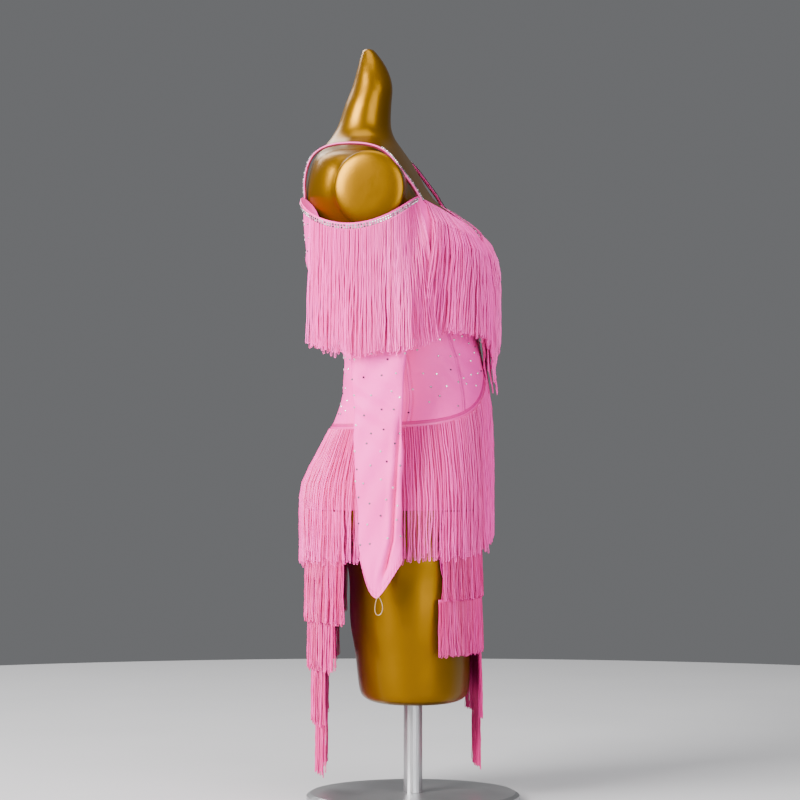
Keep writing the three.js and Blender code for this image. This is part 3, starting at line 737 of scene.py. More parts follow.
@dataclass(frozen=True)
class RayonThread:
    """Silky twisted thread; each strand holds its own shade, from deep to pale, with painted shade at the
    roots and on the inner layers.
    """

    name: str
    light: Colour
    dark: Colour
    twist: float = 0.0022

    def make(self) -> bpy.types.Material:
        """Builds the material."""
        sheen = {"Sheen_Weight": 0.12, "Sheen_Roughness": 0.35, "Sheen_Tint": (1.0, 0.35, 0.70, 1.0)}
        constants = {"Roughness": 0.42, "Specular_IOR_Level": 0.25, **sheen}
        material, graph, shader = start_material(self.name, **constants)
        place = graph.node("ShaderNodeUVMap", uv_map="cloth").outputs[0]
        shade = graph.node("ShaderNodeAttribute", attribute_name="shade").outputs["Fac"]
        axes = graph.node("ShaderNodeSeparateXYZ", {0: place}).outputs
        around = graph.math("MULTIPLY", axes[0], 2 * math.pi)
        turns = graph.math("MULTIPLY_ADD", axes[1], 2 * math.pi / self.twist, around)
        twist = graph.math("MULTIPLY_ADD", graph.math("SINE", turns), 0.5, 0.5)
        share = graph.math("MULTIPLY_ADD", twist, 0.07, shade)
        graph.set(shader.inputs["Base Color"], graph.blend(share, self.dark, self.light))
        graph.set(shader.inputs["Normal"], graph.bump(twist, 0.00012))
        return material


@dataclass(frozen=True)
class Ribbon:
    """Satin ribbon, or a cord of painted shade, with fine ribs across it."""

    name: str
    light: Colour
    dark: Colour
    roughness: float
    pitch: float = 0.0012

    def make(self) -> bpy.types.Material:
        """Builds the material."""
        material, graph, shader = start_material(self.name, Roughness=self.roughness, Specular_IOR_Level=0.25)
        place = graph.node("ShaderNodeUVMap", uv_map="cloth").outputs[0]
        knit = graph.place(Effects.KNIT, Map=place, Pitch=self.pitch).outputs["Height"]
        tone = graph.place(Effects.MOTTLE, Scale=30.0, Detail=2.0).outputs["Tone"]
        share = graph.math("MULTIPLY_ADD", knit, 0.3, graph.math("MULTIPLY", tone, 0.7))
        graph.set(shader.inputs["Base Color"], graph.blend(share, self.dark, self.light))
        graph.set(shader.inputs["Normal"], graph.bump(knit, 0.0002))
        return material


@dataclass(frozen=True)
class CutStone:
    """Foil-backed cut glass; each stone holds its own painted reflection, from a dark one to a glint."""

    name: str
    light: Colour
    dark: Colour

    def make(self) -> bpy.types.Material:
        """Builds the material."""
        material, graph, shader = start_material(
            self.name, Metallic=0.6, Roughness=0.08, Coat_Weight=1.0, Coat_Roughness=0.02
        )
        shade = graph.node("ShaderNodeAttribute", attribute_name="shade").outputs["Fac"]
        graph.set(shader.inputs["Base Color"], graph.blend(shade, self.dark, self.light))
        return material


@dataclass(frozen=True)
class BrushedSteel:
    """Brushed steel with fine streaks and a darker, dusty tone in places."""

    name: str
    light: Colour
    dark: Colour

    def make(self) -> bpy.types.Material:
        """Builds the material."""
        material, graph, shader = start_material(self.name, Metallic=0.9)
        at = graph.node("ShaderNodeTexCoord").outputs["Object"]
        long = graph.node("ShaderNodeMapping", {"Vector": at, "Scale": (900.0, 900.0, 14.0)}).outputs[0]
        values = {"Vector": long, "Scale": 1.0, "Detail": 3.0}
        streak = graph.node("ShaderNodeTexNoise", values).outputs["Fac"]
        tone = graph.place(Effects.MOTTLE, Scale=11.0, Detail=3.0).outputs["Tone"]
        share = graph.math("MULTIPLY_ADD", streak, 0.35, graph.math("MULTIPLY", tone, 0.65))
        graph.set(shader.inputs["Base Color"], graph.blend(share, self.dark, self.light))
        graph.set(shader.inputs["Roughness"], graph.math("MULTIPLY_ADD", streak, 0.22, 0.24))
        graph.set(shader.inputs["Normal"], graph.bump(streak, 0.0001))
        return material


@dataclass(frozen=True)
class Elastic:
    """Clear, slightly milky elastic cord."""

    name: str
    light: Colour
    dark: Colour

    def make(self) -> bpy.types.Material:
        """Builds the material."""
        material, graph, shader = start_material(self.name, Roughness=0.35, Transmission_Weight=0.1)
        tone = graph.place(Effects.MOTTLE, Scale=220.0, Detail=2.0).outputs["Tone"]
        graph.set(shader.inputs["Base Color"], graph.blend(tone, self.dark, self.light))
        graph.set(shader.inputs["Normal"], graph.bump(tone, 0.0002))
        return material


class Slot(Enum):
    """The record's material slots."""

    FORM = "form_gold"
    STAND = "stand_steel"
    JERSEY = "stretch_jersey"
    RAYON = "rayon_fringe"
    STONES = "rhinestones"
    BINDING = "satin_binding"
    ELASTIC = "clear_elastic"


class Wardrobe:
    """Every finish of the piece, built once."""

    def __init__(self) -> None:
        """Builds the shared effects and then the finishes."""
        Effects.build()
        gold, shaded = (0.215, 0.103, 0.0002, 1), (0.145, 0.062, 0.0001, 1)
        self.gold = Lacquer("Gold lacquer", gold, shaded, 0.74, 0.25, 0.0).make()
        self.steel = BrushedSteel("Brushed steel", (0.55, 0.55, 0.56, 1), (0.30, 0.30, 0.31, 1)).make()
        pink, deep = (0.97, 0.050, 0.46, 1), (0.82, 0.022, 0.30, 1)
        self.cloth = StretchCloth("Pink jersey", pink, deep, 0.12, 0.17, -1.0).make()
        self.sleeve = StretchCloth("Pink jersey with stitched hem", pink, deep, 0.42, 0.16, 0.38).make()
        self.thread = RayonThread("Pink rayon thread", (0.98, 0.070, 0.50, 1), (0.50, 0.006, 0.125, 1)).make()
        self.satin = Ribbon("Magenta satin", (0.62, 0.012, 0.24, 1), (0.46, 0.006, 0.16, 1), 0.36).make()
        self.strap = Ribbon("Pink strap", (0.90, 0.10, 0.44, 1), (0.74, 0.05, 0.30, 1), 0.45).make()
        # Painted shade: a dark red cord that stands for the straps' edge in shadow.
        self.piping = Ribbon("Dark red piping", (0.17, 0.002, 0.022, 1), (0.10, 0.001, 0.012, 1), 0.5).make()
        # The cut glass's pale and dark colours are painted glints and painted dark reflections.
        self.stone = CutStone("Cut glass", (0.95, 0.93, 0.96, 1), (0.03, 0.025, 0.03, 1)).make()
        self.setting = BrushedSteel("Silvered setting", (0.22, 0.17, 0.19, 1), (0.09, 0.06, 0.07, 1)).make()
        self.elastic = Elastic("Clear elastic", (0.36, 0.22, 0.10, 1), (0.24, 0.13, 0.055, 1)).make()


# ---- pieces of the whole


def settle(piece: bpy.types.Object, slot: Slot, *nodes: str) -> bpy.types.Object:
    """Puts a finished piece on the body in place of its CAD nodes."""
    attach(piece, BODY)
    if nodes:
        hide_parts(*nodes)
    triangles = sum(len(p.vertices) - 2 for p in piece.data.polygons)
    LOG.info("%s: %d triangles", piece.name, triangles)
    return piece


@dataclass
class DressForm:
    """The gold form with its shoulder caps, and the finish of its stand."""

    body: DressBody
    wardrobe: Wardrobe
    columns: int = 96
    rows: int = 190
    voxel: float = 0.0042
    smoothing: int = 9
    grip: tuple[float, float, float] = (0.700, 0.890, 0.0006)
    shoulder: tuple[float, float, float] = (0.907, 0.052, 0.055)
    shoulder_forward: tuple[float, float] = (-0.018, -0.044)
    root: tuple[float, float] = (0.070, 0.90)
    face: float = 0.163
    cap: tuple[float, float] = (0.004, 0.0065)

    def build(self) -> None:
        """Builds the body and the caps, and dresses the stand."""
        self._body()
        for side in Side:
            self._cap(side)
        for name in ("form_base", "form_pole", "form_collar"):
            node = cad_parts[name]
            node.data.materials.clear()
            node.data.materials.append(self.wardrobe.steel)

    def _oval(self, side: Side, right: Array, scale: Array, count: int) -> Array:
        """Upright ovals of the shoulder, each scaled, at distances to one side.

        Args:
            side: which side of the wearer.
            right: distance of each oval from the middle.
            scale: of each oval.
            count: points round an oval.

        Returns:
            (ovals, count, 3).
        """
        height, depth, rise = self.shoulder
        forward = self.shoulder_forward[0 if side is Side.RIGHT else 1]
        angle = np.linspace(0, 2 * np.pi, count, endpoint=False)
        scale, right = np.asarray(scale)[:, None], np.asarray(right)[:, None]
        return self.body.place(
            forward + depth * scale * np.cos(angle),
            side.value * right + 0 * angle,
            height + rise * scale * np.sin(angle),
            self.body.twist,
        )

    @staticmethod
    def _closed(parts: MeshParts, rings: Array) -> None:
        """Adds stacked rings that are closed with a face at each end."""
        flat = rings.reshape(-1, 3)
        parts.add(flat, closed_faces(flat, *rings.shape[:2]), arc_map(rings).reshape(-1, 2))

    def _body(self) -> None:
        """The body and its two shoulders as one smooth skin.

        Level rings of the section and two tapered ovals are joined by a voxel remesh, and the
        join is then eased by moving each vertex towards the mean of its neighbours.
        """
        heights = np.linspace(FORM_SECTIONS[0, 0], FORM_SECTIONS[-1, 0], self.rows)[:, None]
        angle = np.linspace(0, 2 * np.pi, self.columns, endpoint=False)[None, :]
        low, high, depth = self.grip
        gripped = smooth_step((heights - low) / 0.02) * smooth_step((high - heights) / 0.02)
        parts = MeshParts()
        self._closed(parts, self.body.skin(angle, heights, -depth * gripped + 0 * angle))
        inner, scale = self.root
        t = np.linspace(0, 1, 12)
        for side in Side:
            rings = self._oval(side, mix(inner, self.face, t), mix(scale, 1.0, t**2), 64)
            self._closed(parts, rings)
        rough = parts.build("Form_Rough", [])
        remesh = rough.modifiers.new("one skin", "REMESH")
        remesh.mode, remesh.voxel_size = "VOXEL", self.voxel
        ease = rough.modifiers.new("ease", "SMOOTH")
        ease.iterations, ease.factor = self.smoothing, 0.5
        shown = rough.evaluated_get(bpy.context.evaluated_depsgraph_get())
        mesh = bpy.data.meshes.new_from_object(shown)
        bpy.data.objects.remove(rough)
        mesh.materials.clear()
        mesh.materials.append(self.wardrobe.gold)
        mesh.polygons.foreach_set("use_smooth", np.ones(len(mesh.polygons), bool))
        piece = bpy.data.objects.new("Form_Body", mesh)
        bpy.context.scene.collection.objects.link(piece)
        settle(piece, Slot.FORM, "form_body")

    def _cap(self, side: Side) -> None:
        """A domed disc that closes a shoulder: rings whose radius falls as a quarter circle.

        Args:
            side: which side of the wearer.
        """
        wall, dome = self.cap
        turn = np.linspace(0, np.pi / 2, 14)
        rim = self.face + wall * 0.6
        right = np.concatenate([[self.face, rim], rim + dome * np.sin(turn) ** 1.3])
        scale = np.concatenate([[0.985, 0.985], 0.985 * np.maximum(np.cos(turn), 0.002) ** 0.42])
        parts = MeshParts()
        self._closed(parts, self._oval(side, right, scale, 96))
        piece = parts.build(f"Form_Shoulder_Cap_{side.name.title()}", [self.wardrobe.gold], 60)
        settle(piece, Slot.FORM, f"form_shoulder_cap_{side.word}")


@dataclass
class Cut:
    """A piece of cloth's cut: flat width and length, and its flat area."""

    width: float
    length: float
    area: float


@dataclass
class Leotard:
    """The bodice panels and the briefs, drawn tight over the form."""

    body: DressBody
    wardrobe: Wardrobe
    inner: float = 0.0016
    thickness: float = 0.0009
    gap: float = 0.00015
    brief_hem: float = 0.440
    edge_scale: float = 0.020
    front_seam: float = math.radians(52)
    radius: float = 0.13
    ruck: float = 0.0009
    waist: float = 0.648
    waist_spread: float = 0.035
    groove: tuple[float, float] = (0.0005, 0.0016)
    hem_ridge: tuple[float, float] = (0.0004, 0.004)
    rows: int = 110
    hidden_rows: int = 44

    def build(self) -> None:
        """Builds every panel."""
        front, side = self.front_seam, self.body.side_seam
        top, seam = self.body.upper_edge, self.body.hip_seam
        behind = 2 * np.pi - side

        def hem(angle: Array) -> Array:
            """The briefs' level lower edge."""
            return self.brief_hem + 0 * angle

        panels = (
            ("Bodice_Front_Centre", -front, front, seam, top, Cut(0.245, 0.330, 0.0580)),
            ("Bodice_Front_Side_Right", front, side, seam, top, Cut(0.105, 0.330, 0.0205)),
            ("Bodice_Front_Side_Left", -side, -front, seam, top, Cut(0.105, 0.330, 0.0205)),
            ("Bodice_Back", side, behind, seam, top, Cut(0.370, 0.345, 0.1050)),
            ("Brief_Front", -side, side, hem, seam, Cut(0.360, 0.195, 0.0660)),
            ("Brief_Back", side, behind, hem, seam, Cut(0.370, 0.150, 0.0520)),
        )
        for name, start, end, low, high, cut in panels:
            piece = self._panel(name, start, end, low, high)
            settle(piece, Slot.JERSEY, name.lower())

    def _panel(self, name: str, start: float, end: float, low: Callable, high: Callable) -> bpy.types.Object:
        """One panel between two upright seams and two edges.

        The cloth stands off the form by a constant, less a shallow groove along each seam and
        plus soft creases at the waist: a sine of the height that runs askew round the body.

        Args:
            name: the piece.
            start: angle of the first seam.
            end: angle of the second seam.
            low: height of the lower edge at an angle.
            high: height of the upper edge at an angle.

        Returns:
            The panel.
        """
        columns = max(24, int((end - start) / math.radians(1.3)))
        u = np.linspace(0, 1, columns)[None, :]
        rows = self.rows if name.startswith("Bodice") else self.hidden_rows
        v = np.linspace(0, 1, rows)[:, None]
        trim = self.gap / self.radius
        angle = mix(start + trim, end - trim, u) + 0 * v
        height = mix(low(angle) + self.gap, high(angle), v**0.85)
        width = self.radius * (end - start)
        seam = np.minimum(u, 1 - u) * width + 0 * v
        edge = (1 - v) * (high(angle) - low(angle))
        (groove, groove_width), (ridge, ridge_width) = self.groove, self.hem_ridge
        at_waist = np.exp(-(((height - self.waist) / self.waist_spread) ** 2))
        rucks = np.sin((height + 0.05 * np.sin(3 * angle)) * 190 + 4 * angle) * at_waist
        lift = self.ruck * (0.5 + 0.5 * rucks) - groove * np.exp(-((seam / groove_width) ** 2))
        lift = lift + ridge * np.exp(-((edge / ridge_width) ** 2))
        parts = MeshParts()
        outer = self.body.skin(angle, height, self.inner + self.thickness + lift)
        inner = self.body.skin(angle, height, self.inner + np.minimum(lift, 0))
        add_wall(parts, outer, inner)
        near = np.clip(np.minimum(seam, edge) / self.edge_scale, 0, 1).reshape(-1)
        parts.shades = [np.concatenate([near, near])]
        return parts.build(name, [self.wardrobe.cloth], 60)


def add_tubes(
    parts: MeshParts,
    paths: Array,
    normals: Array,
    radius: Array | float,
    sides: int,
    shade: Array | float = 0.5,
    closed: bool = False,
    material: int = 0,
) -> None:
    """Round threads carried along many paths at once.

    A ring of `sides` points stands square to each path, in the frame of its tangent and a
    given direction out.

    Args:
        parts: the mesh to add to.
        paths: (threads, points, 3).
        normals: directions out, of the same shape.
        radius: of the threads.
        sides: points round a thread.
        shade: for each thread, or for each of its points.
        closed: whether each path is a ring.
        material: the slot.
    """
    threads, count = paths.shape[:2]
    if closed:
        tangent = unit(np.roll(paths, -1, axis=1) - np.roll(paths, 1, axis=1))
    else:
        tangent = unit(np.gradient(paths, axis=1))
    across = unit(np.cross(normals, tangent))
    out = np.cross(tangent, across)
    angle = 2 * np.pi * np.arange(sides) / sides
    size = np.broadcast_to(np.asarray(radius, float), (threads, count))[..., None, None]
    ring = np.cos(angle)[:, None] * across[:, :, None] + np.sin(angle)[:, None] * out[:, :, None]
    points = paths[:, :, None] + size * ring
    rows = np.arange(count if closed else count - 1)[:, None]
    i = np.arange(sides)
    following, after = (i + 1) % sides, (rows + 1) % count
    one = np.stack(
        [rows * sides + i, rows * sides + following, after * sides + following, after * sides + i], axis=-1
    ).reshape(-1, 4)
    if signed_volume(points[0].reshape(-1, 3), one) < 0:
        one = one[:, ::-1]
        ends = np.stack([i, (count - 1) * sides + i[::-1]])
    else:
        ends = np.stack([i[::-1], (count - 1) * sides + i])
    starts = (np.arange(threads) * count * sides)[:, None, None]
    faces = [(one + starts).reshape(-1, 4)]
    if not closed:
        faces.append((ends + starts).reshape(-1, sides))
    arc = np.cumsum(np.linalg.norm(np.diff(paths, axis=1, prepend=paths[:, :1]), axis=-1), axis=1)
    uv = np.stack(np.broadcast_arrays(i / sides, arc[..., None]), axis=-1)
    tone = np.asarray(shade, float)
    tone = tone[:, None, None] if tone.ndim == 1 else tone[..., None] if tone.ndim == 2 else tone
    tone = np.broadcast_to(tone, (threads, count, sides))
    parts.add(points.reshape(-1, 3), faces, uv.reshape(-1, 2), tone.reshape(-1), material)


def add_stones(
    parts: MeshParts,
    centres: Array,
    normals: Array,
    radius: float,
    rng: np.random.Generator,
    material: int = 0,
    setting: int | None = None,
    dull: float = 0.45,
) -> None:
    """Cut stones, each an eight-sided crown with a flat table, turned at random.

    Args:
        parts: the mesh to add to.
        centres: (stones, 3), where each touches the cloth.
        normals: the way each faces.
        radius: of a stone.
        rng: seeded random numbers.
        material: the stones' slot.
        setting: the slot of a cup round each stone, or None for stones that are glued on.
        dull: the share of dark stones.
    """
    n, sides = len(centres), 8
    helper = np.where(np.abs(normals[:, 2:]) < 0.9, [[0.0, 0.0, 1.0]], [[1.0, 0.0, 0.0]])
    first = unit(np.cross(helper, normals))
    second = np.cross(normals, first)
    start = rng.uniform(0, 2 * np.pi, n)[:, None]
    angle = 2 * np.pi * np.arange(sides) / sides + start

    def rings(profile: Sequence[tuple[float, float]]) -> Array:
        """Points (stones, rings, sides, 3) of a profile of radius and height, in stone radii."""
        r = np.array([p[0] for p in profile])[None, :, None, None] * radius
        h = np.array([p[1] for p in profile])[None, :, None, None] * radius
        flat = np.cos(angle)[..., None] * first[:, None] + np.sin(angle)[..., None] * second[:, None]
        return centres[:, None, None] + r * flat[:, None] + h * normals[:, None, None]

    def add(profile: Sequence[tuple[float, float]], shade: Array, slot: int) -> None:
        """Adds one closed turned shape for each stone."""
        points = rings(profile)
        count = len(profile)
        step = (np.arange(n) * count * sides)[:, None, None]
        one = closed_faces(points[0].reshape(-1, 3), count, sides)
        faces = [(face + step).reshape(-1, face.shape[1]) for face in one]
        parts.add(points.reshape(-1, 3), faces, None, np.repeat(shade, count * sides), slot)

    # Painted reflection: a share of the stones is painted dark, and the rest pale as painted glints.
    painted_glint = np.where(rng.random(n) < dull, rng.uniform(0.0, 0.3, n), rng.uniform(0.55, 1.0, n))
    add(((0.92, 0.05), (1.0, 0.28), (0.56, 0.78)), painted_glint, material)
    if setting is not None:
        add(((1.14, 0.0), (1.18, 0.3), (1.04, 0.34)), np.full(n, 0.5), setting)


def read_line(values: Array, at: Array) -> Array:
    """Vectors of a line at places between its points, where 1 is the second point."""
    return np.stack([np.interp(at, np.arange(len(values)), values[:, k]) for k in range(3)], axis=-1)


def even_line(points: Array, spacing: float) -> tuple[Array, Array]:
    """Places at an even spacing along a line of points.

    Args:
        points: (n, 3), close together.
        spacing: in metres.

    Returns:
        The places, and where each is from 0 to n - 1.
    """
    arc = np.concatenate([[0], np.cumsum(np.linalg.norm(np.diff(points, axis=0), axis=-1))])
    wanted = np.linspace(0, arc[-1], max(2, int(arc[-1] / spacing)))
    at = np.interp(wanted, arc, np.arange(len(points)))
    return np.stack([np.interp(wanted, arc, points[:, k]) for k in range(3)], axis=-1), at


# Level rings of the sleeve: height, how far its middle is forward, half width, half thickness
# and distance to the side. The first row is the cuff.
SLEEVE_RINGS = np.array(
    [
        (365, 4, 29.5, 6.5, 185.5),
        (420, 2, 32, 7, 185.5),
        (500, 0, 34, 7, 185.5),
        (590, -1, 36, 7, 185),
        (657, -1, 38.5, 7.5, 184),
        (720, 0, 47, 9, 182),
    ]
) * MM


@dataclass
class Sleeves:
    """Off-the-shoulder sleeves that hang empty, flattened, with a pointed hand cover."""

    body: DressBody
    wardrobe: Wardrobe
    lap: float = 0.0046
    below: float = 0.003
    reach: float = 0.099
    low: float = 0.854
    bow: float = 2.6
    tube_top: float = 0.720
    bulge: float = 0.005
    cuff_edge: float = 0.365
    cuff_point: float = 0.050
    tip_at: float = -0.12
    stretch: float = 0.055
    half: float = 0.0005
    columns: int = 150
    rows: int = 170
    hem: float = 0.020
    loop: tuple[float, float, float] = (0.0072, 0.026, 0.00065)
    cut: Cut = field(default_factory=lambda: Cut(0.270, 0.620, 0.1030))

    def build(self) -> None:
        """Builds both sleeves with their loops."""
        for side in Side:
            sleeve = self._sleeve(side)
            settle(sleeve, Slot.JERSEY, f"sleeve_{side.word}")
            loop = self._loop(side)
            settle(loop, Slot.ELASTIC, f"finger_loop_{side.word}")

    def top(self, side: Side, turn: Array) -> Array:
        """The sleeve's upper edge as a loop, where `turn` goes from 0 to 1.

        The first half bows out round the shoulder: along the line between the peaks it
        moves as a cosine, and out as (1 - |cos|^n)^(1/n). The second half follows the armhole.

        Args:
            side: which side of the wearer.
            turn: from 0 to 1 round the loop.

        Returns:
            Points of the edge.
        """
        (front, front_height), (back, back_height) = self.body.front_peak, self.body.back_peak
        start = self.body.skin(np.array(side.value * front), np.array(front_height - self.below), self.lap)
        end = self.body.skin(np.array(side.value * back), np.array(back_height - self.below), self.lap)
        t = np.clip(turn * 2, 0, 1)[..., None]
        swing = np.cos(np.pi * t)
        aside = side.value * self.reach * (1 - np.abs(swing) ** self.bow) ** (1 / self.bow)
        out = np.array([-math.cos(self.body.twist), math.sin(self.body.twist), 0.0])
        dip = (mix(start[2], end[2], t) - self.low) * np.sin(np.pi * t) ** 1.5
        outer = mix(start, end, (1 - swing) / 2) + aside * out - dip * np.array([0.0, 0.0, 1.0])
        angle = mix(back, front, np.clip(turn * 2 - 1, 0, 1))
        inner = self.body.skin(side.value * angle, self.body.upper_edge(angle) - self.below, self.lap)
        return np.where((turn > 0.5)[..., None], inner, outer)

    def _ring(self, side: Side, turn: Array, nominal: Array, height: Array) -> Array:
        """A flattened oval: forward = half width * cos^0.9, aside = half thickness * sin^0.8.

        Args:
            side: which side of the wearer.
            turn: from 0 to 1 round the sleeve.
            nominal: the height at which the table is read.
            height: where the points stand.

        Returns:
            Points of the tube.
        """
        ahead, half, thick, right = (smooth_column(SLEEVE_RINGS, nominal, i) for i in (1, 2, 3, 4))
        angle = 2 * np.pi * turn
        forward = ahead + half * power(np.cos(angle), 0.9)
        aside = side.value * (right + thick * power(np.sin(angle), 0.8))
        return self.body.place(forward, aside, height, self.body.twist)

    def edge(self, turn: Array) -> Array:
        """Height of the cuff's edge, which comes to a point on the outer side.

        Args:
            turn: from 0 to 1 round the sleeve.

        Returns:
            Heights.
        """
        across = np.cos(2 * np.pi * turn)
        tip = self.tip_at
        ahead = across > tip
        t = np.clip(np.where(ahead, (across - tip) / (1 - tip), (tip - across) / (1 + tip)), 0, 1)
        fall = np.where(ahead, 1 - t, 1 - t**2.1)
        return self.cuff_edge - self.cuff_point * np.where(turn > 0.5, 0.0, fall)

    def funnel(self, side: Side, turn: Array, t: Array) -> Array:
        """The part between the upper edge (t = 0) and the tube (t = 1).

        Args:
            side: which side of the wearer.
            turn: from 0 to 1 round the sleeve.
            t: the share of the way down.

        Returns:
            Points of the cloth.
        """
        top = self.top(side, turn)
        ring = self._ring(side, turn, np.full_like(turn, self.tube_top), np.full_like(turn, self.tube_top))
        outer = np.clip(np.sin(2 * np.pi * turn), 0, 1) ** 0.6
        t = np.clip(t, 0, 1)
        points = mix(top, ring, (t ** (0.5 + 0.85 * outer))[..., None])
        away = unit(top * np.array([1.0, 1.0, 0.0]))
        near = (1 - outer) * np.abs(np.cos(2 * np.pi * turn))
        points = points + away * (self.bulge * near * np.sin(np.pi * t**0.6))[..., None]
        points[..., 2] = mix(top[..., 2], self.tube_top, t)
        return points

    def surface(self, side: Side, columns: int, rows: int) -> tuple[Array, Array]:
        """The middle of the sleeve's cloth.

        Args:
            side: which sleeve.
            columns: points round it.
            rows: points down it.

        Returns:
            The grid, and each point's distance above the cuff's edge.
        """
        turn = np.linspace(0, 1, columns, endpoint=False)[None, :] + np.zeros((rows, 1))
        down = np.linspace(0, 1, rows)[:, None] + np.zeros((1, columns))
        share = 0.27
        upper = self.funnel(side, turn, down / share)
        nominal = mix(self.tube_top, self.cuff_edge, np.clip((down - share) / (1 - share), 0, 1))
        drawn = np.clip((self.cuff_edge + self.stretch - nominal) / self.stretch, 0, 1)
        height = nominal + (self.edge(turn) - self.cuff_edge) * drawn
        lower = self._ring(side, turn, nominal, height)
        grid = np.where((down < share)[..., None], upper, lower)
        for _ in range(14):
            soft = grid[1:-1] + 0.5 * (grid[2:] + grid[:-2] - 2 * grid[1:-1]) * 0.5
            keep = (down[1:-1] > 0.93)[..., None]
            grid[1:-1] = np.where(keep, grid[1:-1], soft)
        return grid, grid[..., 2] - self.edge(turn)

    @staticmethod
    def outwards(grid: Array) -> Array:
        """Unit normals of a sleeve's grid that point away from its middle."""
        normal = grid_normals(grid, wrap=True)
        inward = ((grid - grid.mean(axis=1, keepdims=True)) * normal).sum() < 0
        return -normal if inward else normal

    def folds(self, turn: Array, height: Array, above: Array) -> Array:
        """How far the cloth's surface stands out.

        One long valley drifts from the front edge towards the middle as it goes down, with a
        soft ridge beside it. Slanting waves run over the whole sleeve, and small puckers
        stand along the hem's stitching.

        Args:
            turn: from 0 to 1 round the sleeve.
            height: above the floor.
            above: distance above the cuff's edge.

        Returns:
            Distances along the normal.
        """
        across = np.cos(2 * np.pi * turn)
        outer = np.clip(np.sin(2 * np.pi * turn), 0, 1) ** 0.5
        path = 0.90 - 2.05 * np.clip(0.560 - height, 0, 0.22) - 6.0 * np.clip(0.400 - height, 0, 0.05)
        window = smooth_step((0.590 - height) / 0.06) * smooth_step((above - 0.012) / 0.02)
        valley = -0.0062 * np.exp(-(((across - path) / 0.070) ** 2))
        valley = valley + 0.0020 * np.exp(-(((across - path + 0.24) / 0.13) ** 2))
        slow = 0.0010 * np.sin(height * 46 + across * 3.1) + 0.0007 * np.sin(height * 83 - across * 5.0 + 1.3)
        elbow = 0.0011 * np.sin((height + 0.02 * across) * 210) * np.exp(-(((height - 0.600) / 0.05) ** 2))
        pucker = 0.00085 * np.sin(2 * np.pi * turn * 36) * np.exp(-(((above - 0.006) / 0.006) ** 2))
        return outer * (window * valley + elbow) + slow * smooth_step(above / 0.03) + pucker

    def _sleeve(self, side: Side) -> bpy.types.Object:
        """The sleeve's wall: the surface moved both ways along its normal.

        Args:
            side: which side of the wearer.

        Returns:
            The sleeve.
        """
        grid, above = self.surface(side, self.columns, self.rows)
        turn = np.linspace(0, 1, self.columns, endpoint=False)[None, :] + np.zeros((self.rows, 1))
        normal = self.outwards(grid)
        below_top = np.clip(np.linspace(0, 6, self.rows)[:, None], 0, 1)
        lift = self.folds(turn, grid[..., 2], above) * below_top
        points = grid + normal * lift[..., None]
        parts = MeshParts()
        add_wall(parts, points + normal * self.half, points - normal * self.half, wrap=True)
        near = np.clip(above / self.hem, 0, 1).reshape(-1)
        parts.shades = [np.concatenate([near, near])]
        return parts.build(f"Sleeve_{side.name.title()}", [self.wardrobe.sleeve], 60)

    def _loop(self, side: Side) -> bpy.types.Object:
        """An elastic ring that hangs from the cuff's point.

        Args:
            side: which side of the wearer.

        Returns:
            The ring.
        """
        half, drop, radius = self.loop
        ahead, width, thick, right = (float(SLEEVE_RINGS[0, i]) for i in (1, 2, 3, 4))
        turn = np.linspace(0, 2 * np.pi, 40, endpoint=False)
        top = self.cuff_edge - self.cuff_point + 0.002
        path = self.body.place(
            ahead + self.tip_at * width + half * np.cos(turn) * (0.75 + 0.25 * np.sin(turn + 2.6)),
            side.value * (right + thick) + 0 * turn,
            top - drop / 2 * (1 - np.sin(turn)),
            self.body.twist,
        )
        aside = self.body.place(0, side.value, 0, self.body.twist) - self.body.place(0, 0, 0, 0)
        axis = np.broadcast_to(aside, path.shape)
        parts = MeshParts()
        add_tubes(parts, path[None], unit(axis)[None], radius, 8, closed=True)
        return parts.build(f"Finger_Loop_{side.name.title()}", [self.wardrobe.elastic])


